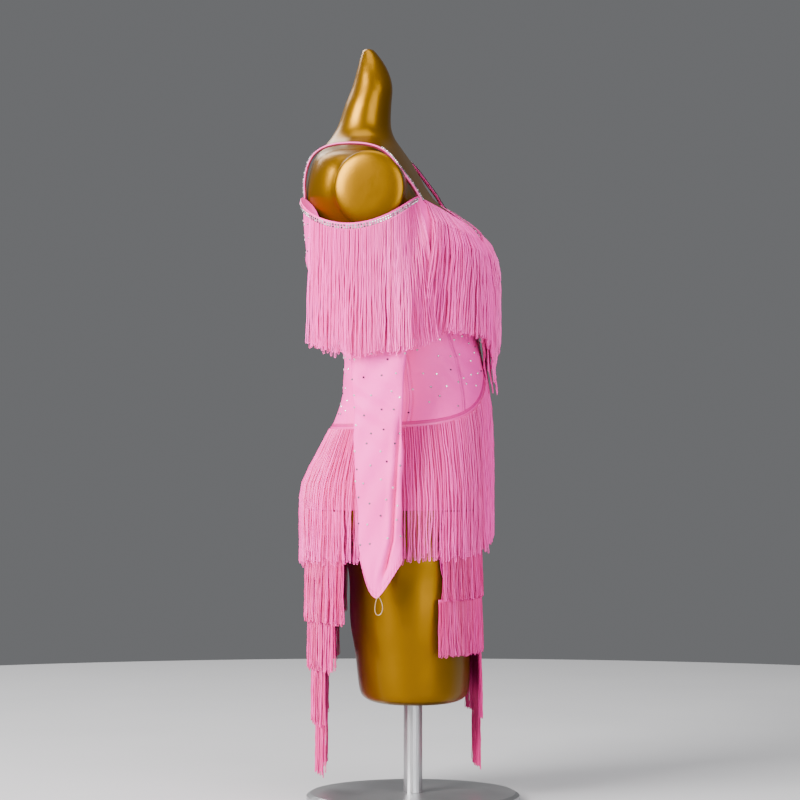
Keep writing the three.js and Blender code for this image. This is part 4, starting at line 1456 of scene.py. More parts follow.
@dataclass
class Straps:
    """Narrow ribbons over the shoulders, with a dark red cord of painted shade on one edge, where the edge is
    in shadow, and stones at their ends.
    """

    body: DressBody
    wardrobe: Wardrobe
    width: float = 0.0040
    thickness: float = 0.0015
    clearance: float = 0.0015
    start_offset: float = 0.0032
    piping: float = 0.0014
    stone: float = 0.0013
    tilt: float = math.radians(48)
    raised: float = 0.0022
    sewn_below: float = 0.007

    def build(self) -> None:
        """Builds both straps."""
        for side in Side:
            piece = self._strap(side)
            settle(piece, Slot.BINDING, f"strap_{side.word}")

    def _path(self, side: Side) -> Array:
        """The line of a strap that is pulled tight from peak to peak.

        It is the upper convex hull of the form's outline at the strap's distance from the
        middle, drawn as an even smooth line.

        Args:
            side: which side of the wearer.

        Returns:
            (n, 3), from the front peak to the back peak.
        """
        (front, front_height), (back, back_height) = self.body.front_peak, self.body.back_peak
        heights = np.array([front_height, back_height]) - self.sewn_below
        ends = self.body.skin(np.array([front, back]), heights, self.start_offset)
        turn = self.body.twist
        x, y = self.body.shift[0] - ends[:, 0], self.body.shift[1] - ends[:, 1]
        forward, right = y * math.cos(turn) + x * math.sin(turn), x * math.cos(turn) - y * math.sin(turn)
        heights = np.arange(front_height + 0.006, 0.976, 0.0015)
        distance = right.min() - self.width / 2
        rear, fore, half, bend = (smooth_column(FORM_SECTIONS, heights, i) for i in (1, 2, 3, 4))
        half = half + self.clearance
        inside = half > distance
        share = (1 - (distance / np.maximum(half, distance)) ** bend) ** (1 / bend)
        middle, depth = (rear + fore) / 2, (fore - rear) / 2 + self.clearance
        f = np.concatenate([(middle + depth * share)[inside], (middle - depth * share)[inside]])
        z = np.tile(heights[inside] + self.clearance, 2)
        between = (f > forward[1] + self.width / 2) & (f < forward[0])
        f, z = np.append(f[between], forward), np.append(z[between], ends[:, 2])
        order = np.argsort(-f)
        hull: list[tuple[float, float]] = []
        for point in zip(f[order], z[order]):
            while len(hull) > 1:
                (f0, z0), (f1, z1) = hull[-2:]
                if (f1 - f0) * (point[1] - z0) - (z1 - z0) * (point[0] - f0) > 0:
                    break
                hull.pop()
            hull.append(point)
        line = np.array(hull)
        share = (line[0, 0] - line[:, 0]) / (line[0, 0] - line[-1, 0])
        aside = side.value * mix(right[0], right[1], share)
        points, _ = even_line(self.body.place(line[:, 0], aside, line[:, 1], turn), 0.0025)
        for _ in range(30):
            points[1:-1] += 0.25 * (points[2:] + points[:-2] - 2 * points[1:-1])
        return points

    def _strap(self, side: Side) -> bpy.types.Object:
        """The ribbon with its cord of painted shade and stones as one piece.

        Args:
            side: which side of the wearer.

        Returns:
            The strap.
        """
        rng = np.random.default_rng(70 + side.value)
        path = self._path(side)
        tangent = unit(np.gradient(path, axis=0))
        level = side.value * (self.body.place(0, 1, 0, self.body.twist) - self.body.place(0, 0, 0, 0))
        square = unit(np.cross(tangent, unit(level)))
        square = square * np.sign(square[:, 2].sum())
        across = unit(math.cos(self.tilt) * unit(level) - math.sin(self.tilt) * square)
        out = math.sin(self.tilt) * unit(level) + math.cos(self.tilt) * square
        share = np.linspace(0, 1, len(path))
        path = path + square * (self.raised * smooth_step(np.minimum(share, 1 - share) / 0.10))[:, None]
        u = np.linspace(-1, 1, 9)[None, :, None]
        base = path[:, None] + u * across[:, None] * self.width / 2
        crown = self.thickness * (1 - 0.7 * u**4) * out[:, None]
        parts = MeshParts()
        add_wall(parts, base + crown, base)
        # The dark red cord along one edge is painted shade, for the strap's edge in shadow.
        edge = path + across * (self.width / 2 + self.piping * 0.9) + out * self.piping
        add_tubes(parts, edge[None], out[None], self.piping, 8, material=1)
        beside = path - across * (self.width / 2 + self.stone * 0.7) + out * 0.0006
        centres, at = even_line(beside, 0.0031)
        share = at / (len(path) - 1)
        shown = (share < 0.36) | (share > 0.72)
        facing = read_line(out, at)
        add_stones(parts, centres[shown], unit(facing[shown]), self.stone, rng, 2, 3)
        slots = [self.wardrobe.strap, self.wardrobe.piping, self.wardrobe.stone, self.wardrobe.setting]
        return parts.build(f"Strap_{side.name.title()}", slots)


@dataclass
class StoneTrims:
    """Two-row chains of stones on the neckline and the sleeves, and stones scattered on the cloth."""

    body: DressBody
    wardrobe: Wardrobe
    sleeves: Sleeves
    below: float = 0.002
    width: float = 0.007
    offset: float = 0.0028
    backing: float = 0.0007
    stone: float = 0.00135
    spacing: float = 0.0041
    scatter: float = 0.027
    big_stone: float = 0.0016
    # The share of stones that are painted dark, as painted reflection.
    dull: float = 0.42
    hem_clear: float = 0.014

    def build(self) -> None:
        """Builds every chain and the scattered stones."""
        for side in Side:
            self._neckline(side)
            self._sleeve_edge(side)
        self._scattered()

    def _chain(self, name: str, lines: Array, normals: Array, seed: int) -> bpy.types.Object:
        """A chain from a grid of five lines that run along it.

        Args:
            name: the piece.
            lines: (5, n, 3), from its upper edge to its lower edge.
            normals: the way it faces.
            seed: for the stones' turn and their painted glints.

        Returns:
            The chain.
        """
        rng = np.random.default_rng(seed)
        parts = MeshParts()
        add_wall(parts, lines + normals * self.backing, lines, material=2)
        for row in (1, 3):
            centres, at = even_line(lines[row] + normals[row] * self.backing, self.spacing)
            add_stones(parts, centres, unit(read_line(normals[row], at)), self.stone, rng, 0, 1)
        return parts.build(name, [self.wardrobe.stone, self.wardrobe.setting, self.wardrobe.strap])

    def _neckline(self, side: Side) -> None:
        """The chain of one half of the V: lines at a constant depth under the edge.

        Args:
            side: which side of the wearer.
        """
        angle = side.value * np.linspace(0.15, 33.2, 90)[None, :] * math.pi / 180
        depth = np.linspace(self.below, self.below + self.width, 5)[:, None]
        height = self.body.upper_edge(angle) - depth
        lines = self.body.skin(angle, height, self.offset)
        normals = unit(self.body.skin(angle, height, self.offset + 0.001) - lines)
        piece = self._chain(f"Neckline_Trim_{side.name.title()}", lines, normals, 11 + side.value)
        settle(piece, Slot.STONES, f"neckline_trim_{side.word}")

    def _sleeve_edge(self, side: Side) -> None:
        """The chain on a sleeve's upper edge.

        Args:
            side: which side of the wearer.
        """
        turn = np.linspace(0.012, 0.488, 120)[None, :] + np.zeros((5, 1))
        fall = self.sleeves.top(side, turn)[..., 2] - self.sleeves.tube_top
        depth = np.linspace(self.below, self.below + self.width, 5)[:, None]
        lines = self.sleeves.funnel(side, turn, depth / fall)
        normals = grid_normals(lines)
        middle = self.body.place(-0.01, 0, 0.8)
        if ((lines - middle) * normals * np.array([1, 1, 0])).sum() < 0:
            normals = -normals
        lines = lines + normals * 0.0014
        piece = self._chain(f"Sleeve_Trim_{side.name.title()}", lines, normals, 31 + side.value)
        settle(piece, Slot.STONES, f"sleeve_trim_{side.word}")

    def _scattered(self) -> None:
        """Stones on a staggered lattice, each moved a little at random."""
        rng = np.random.default_rng(5)
        parts = MeshParts()
        heights = np.arange(0.575, 0.890, self.scatter * 0.82)
        row, column = np.meshgrid(np.arange(len(heights)), np.arange(32), indexing="ij")
        angle = (column + 0.5 * (row % 2)) * 2 * np.pi / 32 + rng.normal(0, 0.045, row.shape)
        height = heights[row] + rng.normal(0, 0.004, row.shape)
        angle = wrapped(angle)
        held = (height > self.body.hip_seam(angle) + 0.012) & (height < self.body.upper_edge(angle) - 0.016)
        angle, height = angle[held], height[held]
        centres = self.body.skin(angle, height, 0.0030)
        normals = unit(self.body.skin(angle, height, 0.0040) - centres)
        add_stones(parts, centres, normals, self.big_stone, rng, dull=self.dull)
        for side in Side:
            columns, rows = self.sleeves.columns, self.sleeves.rows
            grid, above = self.sleeves.surface(side, columns, rows)
            turn = np.linspace(0, 1, columns, endpoint=False)[None, :] + np.zeros((rows, 1))
            normal = self.sleeves.outwards(grid)
            lift = self.sleeves.folds(turn, grid[..., 2], above) + self.sleeves.half
            points = grid + normal * lift[..., None]
            down, across = np.meshgrid(np.arange(30, 165, 9), np.linspace(0.06, 0.94, 4), indexing="ij")
            across = across + 0.12 * (down % 2) + rng.normal(0, 0.03, down.shape)
            around = np.arccos(np.clip(1 - 2 * across, -0.96, 0.96)) / (2 * np.pi)
            i = np.clip(down + rng.integers(-2, 3, down.shape), 0, 163).ravel()
            j = (around.ravel() * columns).astype(int) % columns
            clear = above[i, j] > self.hem_clear
            add_stones(parts, points[i, j][clear], normal[i, j][clear], self.big_stone, rng, dull=self.dull)
        piece = parts.build("Scattered_Stones", [self.wardrobe.stone])
        settle(piece, Slot.STONES)


@dataclass
class HipBinding:
    """A flat satin binding along the hip seam, with a rolled edge on both sides."""

    body: DressBody
    wardrobe: Wardrobe
    half: float = 0.0035
    offset: float = 0.0027
    thickness: float = 0.0014

    def build(self) -> None:
        """Builds the front and back lengths."""
        side = self.body.side_seam
        for name, start, end in (("Front", -side, side), ("Back", side, 2 * np.pi - side)):
            angle = np.linspace(start + 0.001, end - 0.001, 200)[None, :]
            across = np.linspace(-1, 1, 9)[:, None]
            height = self.body.hip_seam(angle) + across * self.half
            crease = 0.2 * np.exp(-((across * 8) ** 2))
            crown = self.thickness * (0.55 + 0.45 * np.cos(across * np.pi / 2) - crease)
            parts = MeshParts()
            outer = self.body.skin(angle, height, self.offset + crown + 0 * angle)
            add_wall(parts, outer, self.body.skin(angle, height, self.offset))
            piece = parts.build(f"Hip_Binding_{name}", [self.wardrobe.satin], 60)
            settle(piece, Slot.BINDING, f"hip_binding_{name.lower()}")


# The power of a tail's rounded plan, and how far forward the middle of that plan is.
TAIL_POWER = 2.4
TAIL_MIDDLE = -0.008


@dataclass(frozen=True)
class TailRow:
    """One row of fringe on a tail: its height at the top and the hem, its distance from the
    tail's cloth, its two ends in degrees, and its tone from 0, deep, to 1, pale."""

    top: float
    hem: float
    offset: float
    left: float
    right: float
    # Painted shade: the tail rows are painted deep, for the shade that they hang in under the rows above.
    tone: float = 0.12


@dataclass(frozen=True)
class TailShape:
    """One tail: the way it faces, its level curves and its rows of fringe."""

    word: str
    facing: int
    levels: Array
    rows: tuple[TailRow, ...]
    cut: Cut

    def plan(self, across: Array, height: Array, offset: Array | float) -> tuple[Array, Array]:
        """Distances forward and right of the tail's cloth, at degrees across and a height.

        Args:
            across: degrees from the tail's middle.
            height: above the floor.
            offset: distance from the cloth.

        Returns:
            Distances forward and to the right.
        """
        reach = smooth_column(self.levels, height, 1) + offset - self.facing * TAIL_MIDDLE
        half = smooth_column(self.levels, height, 2) + offset
        angle = np.radians(across)
        forward = TAIL_MIDDLE + self.facing * reach * power(np.cos(angle), 2 / TAIL_POWER)
        return forward, half * power(np.sin(angle), 2 / TAIL_POWER)


def level_table(rows: Sequence[tuple[float, ...]]) -> Array:
    """Rows of height, reach, half width in millimetres and two angles, from the lowest up."""
    return np.array(rows[::-1], float) * np.array([MM, MM, MM, 1.0, 1.0])


# Each tail row's tone is painted shade: deep for the shade under the rows above.
TAILS = (
    TailShape(
        "front",
        1,
        level_table(
            (
                (437.5, 129.5, 165.5, -63, 63),
                (388, 116.5, 165.5, -63, 63),
                (340, 115.8, 164, -60, 60),
                (305, 115.4, 162, -52, 46),
                (275, 115, 160.5, -44, 32),
                (250, 114.6, 159, -34, 16),
                (230, 114.3, 158, -24, 4),
            )
        ),
        (
            TailRow(0.385, 0.310, 0.0028, -62, 62),
            TailRow(0.3074, 0.229, 0.0036, -65, 65),
            TailRow(0.2254, 0.129, 0.0040, -36, 14),
            # Painted shade: the front's last row is seen from inside, and is painted deepest for the shadow
            # there.
            TailRow(0.238, 0.050, 0.0012, -22, 2, 0.02),
        ),
        Cut(0.300, 0.210, 0.0590),
    ),
    TailShape(
        "back",
        -1,
        level_table(
            (
                (437.5, 145.5, 165.5, -61, 61),
                (403, 137.5, 163, -58, 58),
                (370, 133.5, 158, -52, 52),
                (335, 130, 152, -45, 45),
                (300, 127, 142, -39, 39),
                (265, 124.3, 131, -34, 34),
                (238, 122.5, 123, -30, 30),
            )
        ),
        (
            TailRow(0.403, 0.274, 0.0032, -60, 60),
            TailRow(0.380, 0.204, 0.0020, -51, 51, 0.16),
            TailRow(0.325, 0.123, 0.0016, -37, 37),
            TailRow(0.245, 0.046, 0.0016, -30.5, 30.5, 0.08),
        ),
        Cut(0.290, 0.205, 0.0495),
    ),
)


@dataclass
class TailCloths:
    """The cloth that carries the lower rows of fringe."""

    body: DressBody
    wardrobe: Wardrobe
    half: float = 0.0005

    def build(self) -> None:
        """Builds both tails, each hung from the briefs' hem."""
        for tail in TAILS:
            u = np.linspace(0, 1, 60)[None, :]
            height = np.linspace(tail.levels[-1, 0], tail.levels[0, 0], 40)[:, None] + 0 * u
            across = mix(smooth_column(tail.levels, height, 3), smooth_column(tail.levels, height, 4), u)
            plans = [tail.plan(across, height, d) for d in (self.half, -self.half)]
            faces = [self.body.place(*plan, height, 0.0) for plan in plans]
            parts = MeshParts()
            add_wall(parts, *faces)
            near = np.clip(np.minimum(u, 1 - u) * 0.26 / 0.020 + 0 * height, 0, 1).reshape(-1)
            parts.shades = [np.concatenate([near, near])]
            piece = parts.build(f"Tail_{tail.word.title()}", [self.wardrobe.cloth], 60)
            settle(piece, Slot.JERSEY, f"tail_{tail.word}")


# ---- fringe


class Hull:
    """How far things reach from an upright axis, by direction and height."""

    STEP = 0.003
    LOW = 0.30
    HIGH = 0.93
    BINS = 360

    def __init__(self, axis: Array, grids: Sequence[Array]) -> None:
        """Takes the furthest of all the grids' points in each cell of one degree by STEP.

        Args:
            axis: a point of the axis.
            grids: arrays of points, closer together than a cell.
        """
        self.axis = axis
        levels = int((self.HIGH - self.LOW) / self.STEP) + 1
        reach = np.zeros((levels, self.BINS))
        for grid in grids:
            flat = grid.reshape(-1, 3)
            theta, r = self.polar(flat)
            level = np.round((flat[:, 2] - self.LOW) / self.STEP).astype(int)
            cell = np.round(np.degrees(theta)).astype(int) % self.BINS
            held = (level >= 0) & (level < levels)
            np.maximum.at(reach, (level[held], cell[held]), r[held])
        for _ in range(2):
            reach = np.maximum(reach, (np.roll(reach, 1, axis=1) + np.roll(reach, -1, axis=1)) / 2)
        self.reach_table = (reach + np.roll(reach, 1, axis=1) + np.roll(reach, -1, axis=1)) / 3

    def polar(self, points: Array) -> tuple[Array, Array]:
        """Direction round the axis, and distance from it."""
        x, y = points[..., 0] - self.axis[0], points[..., 1] - self.axis[1]
        return np.arctan2(y, x), np.hypot(x, y)

    def reach(self, theta: Array, height: Array) -> Array:
        """The reach between the cells, by linear steps in both directions.

        Args:
            theta: direction round the axis.
            height: above the floor.

        Returns:
            Distances from the axis.
        """
        level = np.clip((height - self.LOW) / self.STEP, 0, len(self.reach_table) - 1.001)
        turn = np.degrees(theta) % self.BINS
        i, j = level.astype(int), turn.astype(int) % self.BINS
        a, b = level - i, turn - np.floor(turn)
        k = (j + 1) % self.BINS
        table = self.reach_table
        low = mix(table[i, j], table[i, k], b)
        return mix(low, mix(table[i + 1, j], table[i + 1, k], b), a)


@dataclass
class FringeMaker:
    """Makes rows of looped fringe: each strand goes down, turns in a loop and comes back up."""

    wardrobe: Wardrobe
    thread: float = 0.00048
    spacing: float = 0.0021
    gap: float = 0.00056
    loop: float = 0.0007
    clump: float = 0.0075
    step: float = 0.020
    sides: int = 3
    sway: float = 0.0018
    stray: float = 0.0011
    draw: float = 0.42
    shorter: tuple[float, float, float] = (-0.018, 0.008, 0.014)
    waves: tuple[float, float] = (0.0005, 0.0003)
    wave_length: tuple[float, float] = (0.040, 0.085)
    uneven_tone: float = 0.17

    def strands(self, parts: MeshParts, rng: np.random.Generator, row: "Row", layer: int) -> None:
        """Adds one layer of a row.

        A strand's middle line drifts to the middle of its clump, sways with it, and waves a
        little as a sine of the length. Its two legs stand a gap apart, and the loop at the
        bottom is half a circle.

        Args:
            parts: the mesh to add to.
            rng: seeded random numbers.
            row: where the strands start and hang.
            layer: 0 is the inner layer.
        """
        count = max(3, int(row.length / (self.spacing * row.sparse)))
        u = (np.arange(count) + 0.5 * (layer % 2) + rng.uniform(-0.3, 0.3, count)) / count
        u = np.clip(u, 0.002, 0.998)
        drop = row.drop(u)
        steps = max(7, int(drop.mean() / self.step))
        s = np.linspace(0, 1, steps)[None, :] ** 0.9
        clumps = np.floor(u * row.length / self.clump + 0.5 * layer).astype(int)
        kinds = clumps.max() + 1
        centre = (clumps + 0.5 - 0.5 * layer) * self.clump / row.length
        sway = rng.normal(0, self.sway, kinds)[clumps][:, None]
        mean, by_clump, by_strand = self.shorter
        shorter = rng.normal(mean, by_clump, kinds)[clumps] + rng.normal(0, by_strand, count)
        phase = rng.uniform(0, 2 * np.pi, (3, count, 1))
        wave_length = rng.uniform(*self.wave_length, (count, 1))
        run = drop[:, None] * s
        draw = self.draw * (centre - u)[:, None] * row.length * s**1.4
        (long, short), free = self.waves, np.minimum(1, run / 0.03)
        wave = long * np.sin(2 * np.pi * run / wave_length + phase[0]) * free
        wave += short * np.sin(2 * np.pi * run / (wave_length * 0.43) + phase[1]) * free
        fly = rng.normal(0, self.stray, (count, 1)) * s**2
        lateral = draw + sway * s**1.6 + wave + fly + row.fan(u[:, None], s)
        lift = row.lift(u[:, None], s) * (0.35 + 0.65 * layer) + 0.0011 * layer
        lift = lift + 0.0006 * (1 + np.sin(2 * np.pi * run / 0.06 + phase[2])) * np.minimum(1, run / 0.04)
        middle, out = row.line(u[:, None] + 0 * s, s * (1 + shorter)[:, None], lateral, lift)
        across = unit(np.cross(np.array([0.0, 0.0, 1.0]), out))
        half = (self.gap + self.loop * np.exp(-(((1 - s) * drop[:, None] / 0.007) ** 2)))[..., None]
        arc = np.linspace(0, np.pi, 5)[1:-1][None, :, None]
        foot, foot_half = middle[:, -1:], half[:, -1:]
        sag = foot_half * 1.5 * np.sin(arc)
        bend = foot - across[:, -1:] * foot_half * np.cos(arc) - np.array([0, 0, 1.0]) * sag
        legs = [middle - across * half, bend, (middle + across * half)[:, ::-1]]
        outs = [out, np.broadcast_to(out[:, -1:], bend.shape), out[:, ::-1]]
        # Painted shade: the inner layer is painted deeper than the outer one, and each strand is painted
        # deeper at its root than at its loop.
        layer_painted_shade = 0.10 * (layer - 0.5) * 2
        tone = np.clip(row.tone + self.uneven_tone * rng.normal(0, 1, count) + layer_painted_shade, 0, 1)
        root_shade_fade = np.concatenate([s[0], np.ones(3), s[0, ::-1]])[None, :]
        shade = np.clip(tone[:, None] - 0.10 + 0.16 * root_shade_fade, 0, 1)
        paths, normals = (np.concatenate(each, axis=1) for each in (legs, outs))
        add_tubes(parts, paths, normals, self.thread, self.sides, shade)

    def build(
        self, name: str, row: "Row", seed: int, nodes: Sequence[str], layers: int = 2
    ) -> bpy.types.Object:
        """Builds a row as one piece, with a tape that its strands are sewn to.

        Args:
            name: the piece.
            row: where its strands start and hang.
            seed: for its random numbers.
            nodes: the CAD nodes that it stands for.
            layers: how many layers of strands.

        Returns:
            The piece.
        """
        rng = np.random.default_rng(seed)
        parts = MeshParts()
        for layer in range(layers):
            self.strands(parts, rng, row, layer)
        u = np.linspace(0.001, 0.999, 120)[:, None] + np.zeros((1, 3))
        share = np.array([-0.003, 0.0, 0.003])[None, :] / row.drop(u[:, :1])
        faces = [row.line(u, share, 0 * u, 0 * u + d)[0] for d in (0.0002, -0.0004)]
        add_wall(parts, *faces)
        piece = parts.build(name, [self.wardrobe.thread])
        return settle(piece, Slot.RAYON, *nodes)


@dataclass
class Row:
    """Where a row of fringe hangs.

    `line` takes the place along the row, the share of the drop, a shift along the row and a
    distance out, and gives points and the directions out.
    """

    length: float
    drop: Callable[[Array], Array]
    line: Callable[[Array, Array, Array, Array], tuple[Array, Array]]
    lift: Callable[[Array, Array], Array]
    tone: float = 0.5
    fan: Callable[[Array, Array], Array] = lambda u, s: 0 * (u + s)
    sparse: float = 1.0


@dataclass
class Fringes:
    """Every row of fringe on the dress."""

    body: DressBody
    wardrobe: Wardrobe
    sleeves: Sleeves
    maker: FringeMaker
    start: float = 0.0095
    bust_hem: tuple[tuple[float, float], ...] = (
        (0, 0.612), (1.5, 0.625), (3, 0.650), (5, 0.668), (8, 0.680), (12, 0.690), (22, 0.699), (38, 0.697),
    )
    sleeve_hem: tuple[float, float, float] = (0.690, 0.664, 0.684)
    hip_hem: tuple[float, float, float, float] = (0.408, 0.375, 0.360, math.radians(24))
    sleeve_end: float = 0.375
    bust_fan: float = 0.018
    sleeve_fan: float = 0.016
    over_sleeve: float = 0.0022
    hip_sparse: float = 1.5
    tail_sparse: float = 1.15

    def build(self) -> None:
        """Builds the rows of the bust, the sleeves, the hips and the tails."""
        axis = self.body.place(-0.010, 0, 0, 0.0)
        heights = np.arange(0.30, 0.925, 0.0015)[:, None]
        angle = np.linspace(0, 2 * np.pi, 1440, endpoint=False)[None, :]
        skin = self.body.skin(angle, heights, 0.0030)
        hips = Hull(axis, [skin])
        sleeves = []
        for side in Side:
            grid, _ = self.sleeves.surface(side, 420, 420)
            sleeves.append((grid + self.sleeves.outwards(grid) * self.over_sleeve)[:260])
        whole = Hull(axis, [skin, *sleeves])
        for side in Side:
            self._bust(side, whole)
            self._sleeve(side, whole)
        self._hips(hips)
        for tail in TAILS:
            for number, row in enumerate(tail.rows, start=2):
                self._tail_row(tail, row, number)

    def _hung(
        self, hull: Hull, anchor: Callable[[Array], Array], hem: Callable[[Array], Array],
        lift: Callable[[Array, Array], Array], tone: float = 0.5,
    ) -> Row:
        """A row that hangs from a line on the body and lies over what is under it.

        The distance from the axis is the largest of the start's own distance and of the
        hull's reach at every height that the strand has passed.

        Args:
            hull: what lies under the strands.
            anchor: the row's line of starts.
            hem: the height of the ends.
            lift: how far the strands stand out.
            tone: from 0, deep, to 1, pale.

        Returns:
            The row.
        """
        sample = np.linspace(0, 1, 400)
        line = anchor(sample)
        length = float(np.linalg.norm(np.diff(line, axis=0), axis=-1).sum())
        arc = np.concatenate([[0], np.cumsum(np.linalg.norm(np.diff(line, axis=0), axis=-1))]) / length

        def even(u: Array) -> Array:
            """The anchor's own parameter at a share of the row's length."""
            return np.interp(u, arc, sample)

        def drop(u: Array) -> Array:
            """Length of the strands."""
            at = even(u)
            return anchor(at)[..., 2] - hem(at)

        def hang(u: Array, s: Array, lateral: Array, out: Array) -> tuple[Array, Array]:
            """Points of strands, and directions out."""
            at = even(u)
            root = anchor(at)
            theta, r0 = hull.polar(root)
            height = root[..., 2] + s * (hem(at) - root[..., 2])
            theta = theta + lateral / r0
            under = hull.reach(theta, np.minimum(height, root[..., 2]))
            clear = smooth_step(np.clip(s, 0, 1) / 0.05)
            least = np.maximum(mix(r0, np.maximum(under, r0), clear), r0)
            reach = np.maximum.accumulate(least, axis=-1) + out
            away = np.stack([np.cos(theta), np.sin(theta), 0 * theta], axis=-1)
            points = np.array([hull.axis[0], hull.axis[1], 0.0]) + reach[..., None] * away
            points[..., 2] = height
            return points, away

        return Row(length, drop, hang, lift, tone)

    def _bust(self, side: Side, hull: Hull) -> None:
        """The fringe of one half of the neckline.

        Args:
            side: which side of the wearer.
            hull: how far the pieces inside it reach.
        """
        table = np.array(self.bust_hem)

        def anchor(t: Array) -> Array:
            """Starts under the chain, from the centre front to the peak."""
            angle = side.value * np.radians(mix(0.15, 33.4, t))
            return self.body.skin(angle, self.body.upper_edge(angle) - self.start, 0.0036)

        def hem(t: Array) -> Array:
            """Ends: longest in the middle of the front."""
            return np.interp(mix(0.15, 33.4, t), table[:, 0], table[:, 1])

        # Painted shade: the bust rows' tone, 0.46, is painted a little deeper than the sleeve rows' tone, for
        # the front in shade.
        row = self._hung(hull, anchor, hem, lambda u, s: 0.0015 + 0.0062 * smooth_step(s / 0.5), 0.46)
        row.fan = lambda u, s: -side.value * self.bust_fan * smooth_step((u - 0.35) / 0.65) * s**0.8
        name = f"Fringe_Bust_{side.name.title()}"
        self.maker.build(name, row, 101 + side.value, [name.lower()], 3)

    def _sleeve(self, side: Side, hull: Hull) -> None:
        """The fringe of one sleeve's upper edge.

        Args:
            side: which side of the wearer.
            hull: how far the pieces inside it reach.
        """
        front, middle, back = self.sleeve_hem

        def anchor(t: Array) -> Array:
            """Starts under the chain, from the front peak round to the back peak."""
            turn = mix(0.004, self.sleeve_end, t)
            fall = self.sleeves.top(side, turn)[..., 2] - self.sleeves.tube_top
            points = self.sleeves.funnel(side, turn, self.start / fall)
            away = unit((points - hull.axis) * np.array([1.0, 1.0, 0.0]))
            return points + away * 0.0018

        def hem(t: Array) -> Array:
            """Ends: lowest at the outside."""
            return mix(mix(front, back, t), middle, np.sin(np.pi * t) ** 0.7)

        # Painted light: the sleeve rows' tone, 0.56, is painted paler than the bust rows' tone, for the light
        # on the side.
        row = self._hung(hull, anchor, hem, lambda u, s: 0.0010 + 0.0050 * smooth_step(s), 0.56)
        row.fan = lambda u, s: side.value * self.sleeve_fan * smooth_step(1 - u / 0.3) * s**0.8
        name = f"Fringe_Sleeve_{side.name.title()}"
        self.maker.build(name, row, 201 + side.value, [name.lower()])

    def _hips(self, hull: Hull) -> None:
        """The first row of the skirt, in a front and a back half.

        Args:
            hull: how far the pieces inside it reach.
        """
        front, side, back, spread = self.hip_hem
        seam = self.body.side_seam
        for word, start, end in (("Front", -seam, seam), ("Back", seam, 2 * np.pi - seam)):

            def anchor(t: Array, start: float = start, end: float = end) -> Array:
                """Starts under the binding."""
                angle = mix(start, end, t)
                return self.body.skin(angle, self.body.hip_seam(angle) - 0.0045, 0.0036)

            def hem(t: Array, start: float = start, end: float = end) -> Array:
                """Ends: higher at the centre front."""
                a = np.abs(wrapped(mix(start, end, t)))
                return mix(side, back, smooth_step(a / np.pi)) + (front - side) * np.exp(-((a / spread) ** 2))

            row = self._hung(hull, anchor, hem, lambda u, s: 0.0010 + 0.0052 * smooth_step(s / 0.6), 0.5)
            row.sparse = self.hip_sparse
            self.maker.build(f"Fringe_Hip_{word}", row, 300 + len(word), [f"fringe_hip_{word.lower()}"])

    def _tail_row(self, tail: TailShape, spec: TailRow, number: int) -> None:
        """One straight row on a tail: strands fall from the tail's plan at the row's top.

        Args:
            tail: what carries the row.
            spec: the row.
            number: of the row, counted down from the hips.
        """
        sample = np.linspace(0, 1, 300)
        angles, tops = mix(spec.left, spec.right, sample), np.full(300, spec.top)
        plan = np.stack(tail.plan(angles, tops, spec.offset), axis=-1)
        length = float(np.linalg.norm(np.diff(plan, axis=0), axis=-1).sum())

        def hang(u: Array, s: Array, lateral: Array, out: Array) -> tuple[Array, Array]:
            """Points of strands, and directions out."""
            across = mix(spec.left, spec.right, u)
            top = np.full_like(across, spec.top)
            here = self.body.place(*tail.plan(across, top, spec.offset), top, 0.0)
            beyond = self.body.place(*tail.plan(across, top, spec.offset + 0.001), top, 0.0)
            away = unit(beyond - here)
            along = np.cross(np.array([0.0, 0.0, 1.0]), away)
            points = here + away * out[..., None] + along * lateral[..., None]
            points[..., 2] = mix(spec.top, spec.hem, s)
            return points, away

        row = Row(
            length,
            drop=lambda u: np.full_like(u, spec.top - spec.hem),
            line=hang,
            lift=lambda u, s: 0.0004 + 0.0016 * s,
            tone=spec.tone,
            sparse=self.tail_sparse,
        )
        name = f"Fringe_{tail.word.title()}_Row_{number}"
        self.maker.build(name, row, 400 + 10 * number + tail.facing, [name.lower()])


# ---- studio


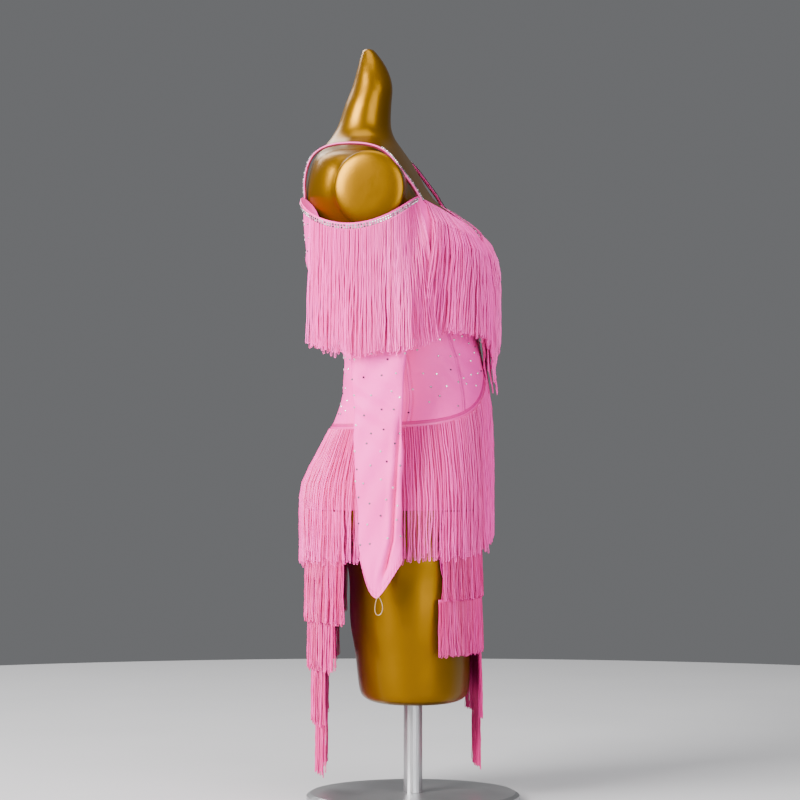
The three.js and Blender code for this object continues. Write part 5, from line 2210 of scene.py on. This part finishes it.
@dataclass
class Studio:
    """The floor, the light and the camera."""

    body: DressBody
    distance: float = 4.4
    eye: float = 0.600
    lens: float = 132.0
    floor: float = 2.4

    def build(self) -> None:
        """Builds everything that isn't part of the dress."""
        self._floor()
        self._world()
        self._light("Key", (-2.3, 2.6, 2.0), 2.0, 560, (1.0, 0.985, 0.97))
        self._light("Fill", (-3.2, -1.8, 1.3), 2.6, 170, (0.97, 0.98, 1.0))
        self._light("Rim", (1.8, 1.2, 2.6), 1.6, 70, (1.0, 1.0, 1.0))
        self._light("Top", (-0.6, 0.2, 3.2), 1.8, 60, (1.0, 1.0, 1.0))
        self._camera()

    def _floor(self) -> None:
        """A pale round floor."""
        angle = np.linspace(0, 2 * np.pi, 128, endpoint=False)
        ring = np.stack([self.floor * np.cos(angle), self.floor * np.sin(angle), 0 * angle], axis=-1)
        parts = MeshParts()
        parts.add(ring, [np.arange(128)[None, :]], ring[:, :2])
        material, graph, shader = start_material("Pale floor", Roughness=0.75)
        tone = graph.place(Effects.MOTTLE, Scale=3.0, Detail=2.0).outputs["Tone"]
        low, high = (0.40, 0.40, 0.41, 1), (0.44, 0.44, 0.45, 1)
        graph.set(shader.inputs["Base Color"], graph.blend(tone, low, high))
        piece = parts.build("Floor", [material])

    @staticmethod
    def _world() -> None:
        """Even grey surroundings."""
        world = bpy.context.scene.world or bpy.data.worlds.new("Studio")
        bpy.context.scene.world = world
        world.use_nodes = True
        background = world.node_tree.nodes["Background"]
        background.inputs["Color"].default_value = (0.153, 0.156, 0.162, 1)
        background.inputs["Strength"].default_value = 1.0

    @staticmethod
    def _light(name: str, place: tuple, size: float, watts: float, colour: tuple) -> None:
        """A soft square light that points at the middle of the dress.

        Args:
            name: of the light.
            place: where it stands.
            size: of its side.
            watts: its power.
            colour: of its light.
        """
        data = bpy.data.lights.new(name, "AREA")
        data.size, data.energy, data.color = size, watts, colour
        light = bpy.data.objects.new(name, data)
        light.location = place
        aim = Vector((0, 0, 0.6)) - Vector(place)
        light.rotation_euler = aim.to_track_quat("-Z", "Y").to_euler()
        bpy.context.scene.collection.objects.link(light)

    def _camera(self) -> None:
        """A level camera that looks square on the wearer's right side."""
        data = bpy.data.cameras.new("Camera")
        data.lens, data.sensor_width = self.lens, 36.0
        camera = bpy.data.objects.new("Camera", data)
        camera.location = (self.body.shift[0] - self.distance, self.body.shift[1] + 0.0015, self.eye)
        camera.rotation_euler = (math.pi / 2, 0, -math.pi / 2)
        bpy.context.scene.collection.objects.link(camera)
        bpy.context.scene.camera = camera


def main() -> None:
    """Builds the scene."""
    logging.basicConfig(level=logging.INFO, format="%(name)s: %(message)s")
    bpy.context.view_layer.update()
    low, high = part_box("form_base")
    body = DressBody(((low[0] + high[0]) / 2, (low[1] + high[1]) / 2 + 0.018))
    wardrobe = Wardrobe()
    Studio(body).build()
    DressForm(body, wardrobe).build()
    Leotard(body, wardrobe).build()
    sleeves = Sleeves(body, wardrobe)
    sleeves.build()
    TailCloths(body, wardrobe).build()
    Straps(body, wardrobe).build()
    StoneTrims(body, wardrobe, sleeves).build()
    HipBinding(body, wardrobe).build()
    Fringes(body, wardrobe, sleeves, FringeMaker(wardrobe)).build()


if __name__ == "__main__":
    main()
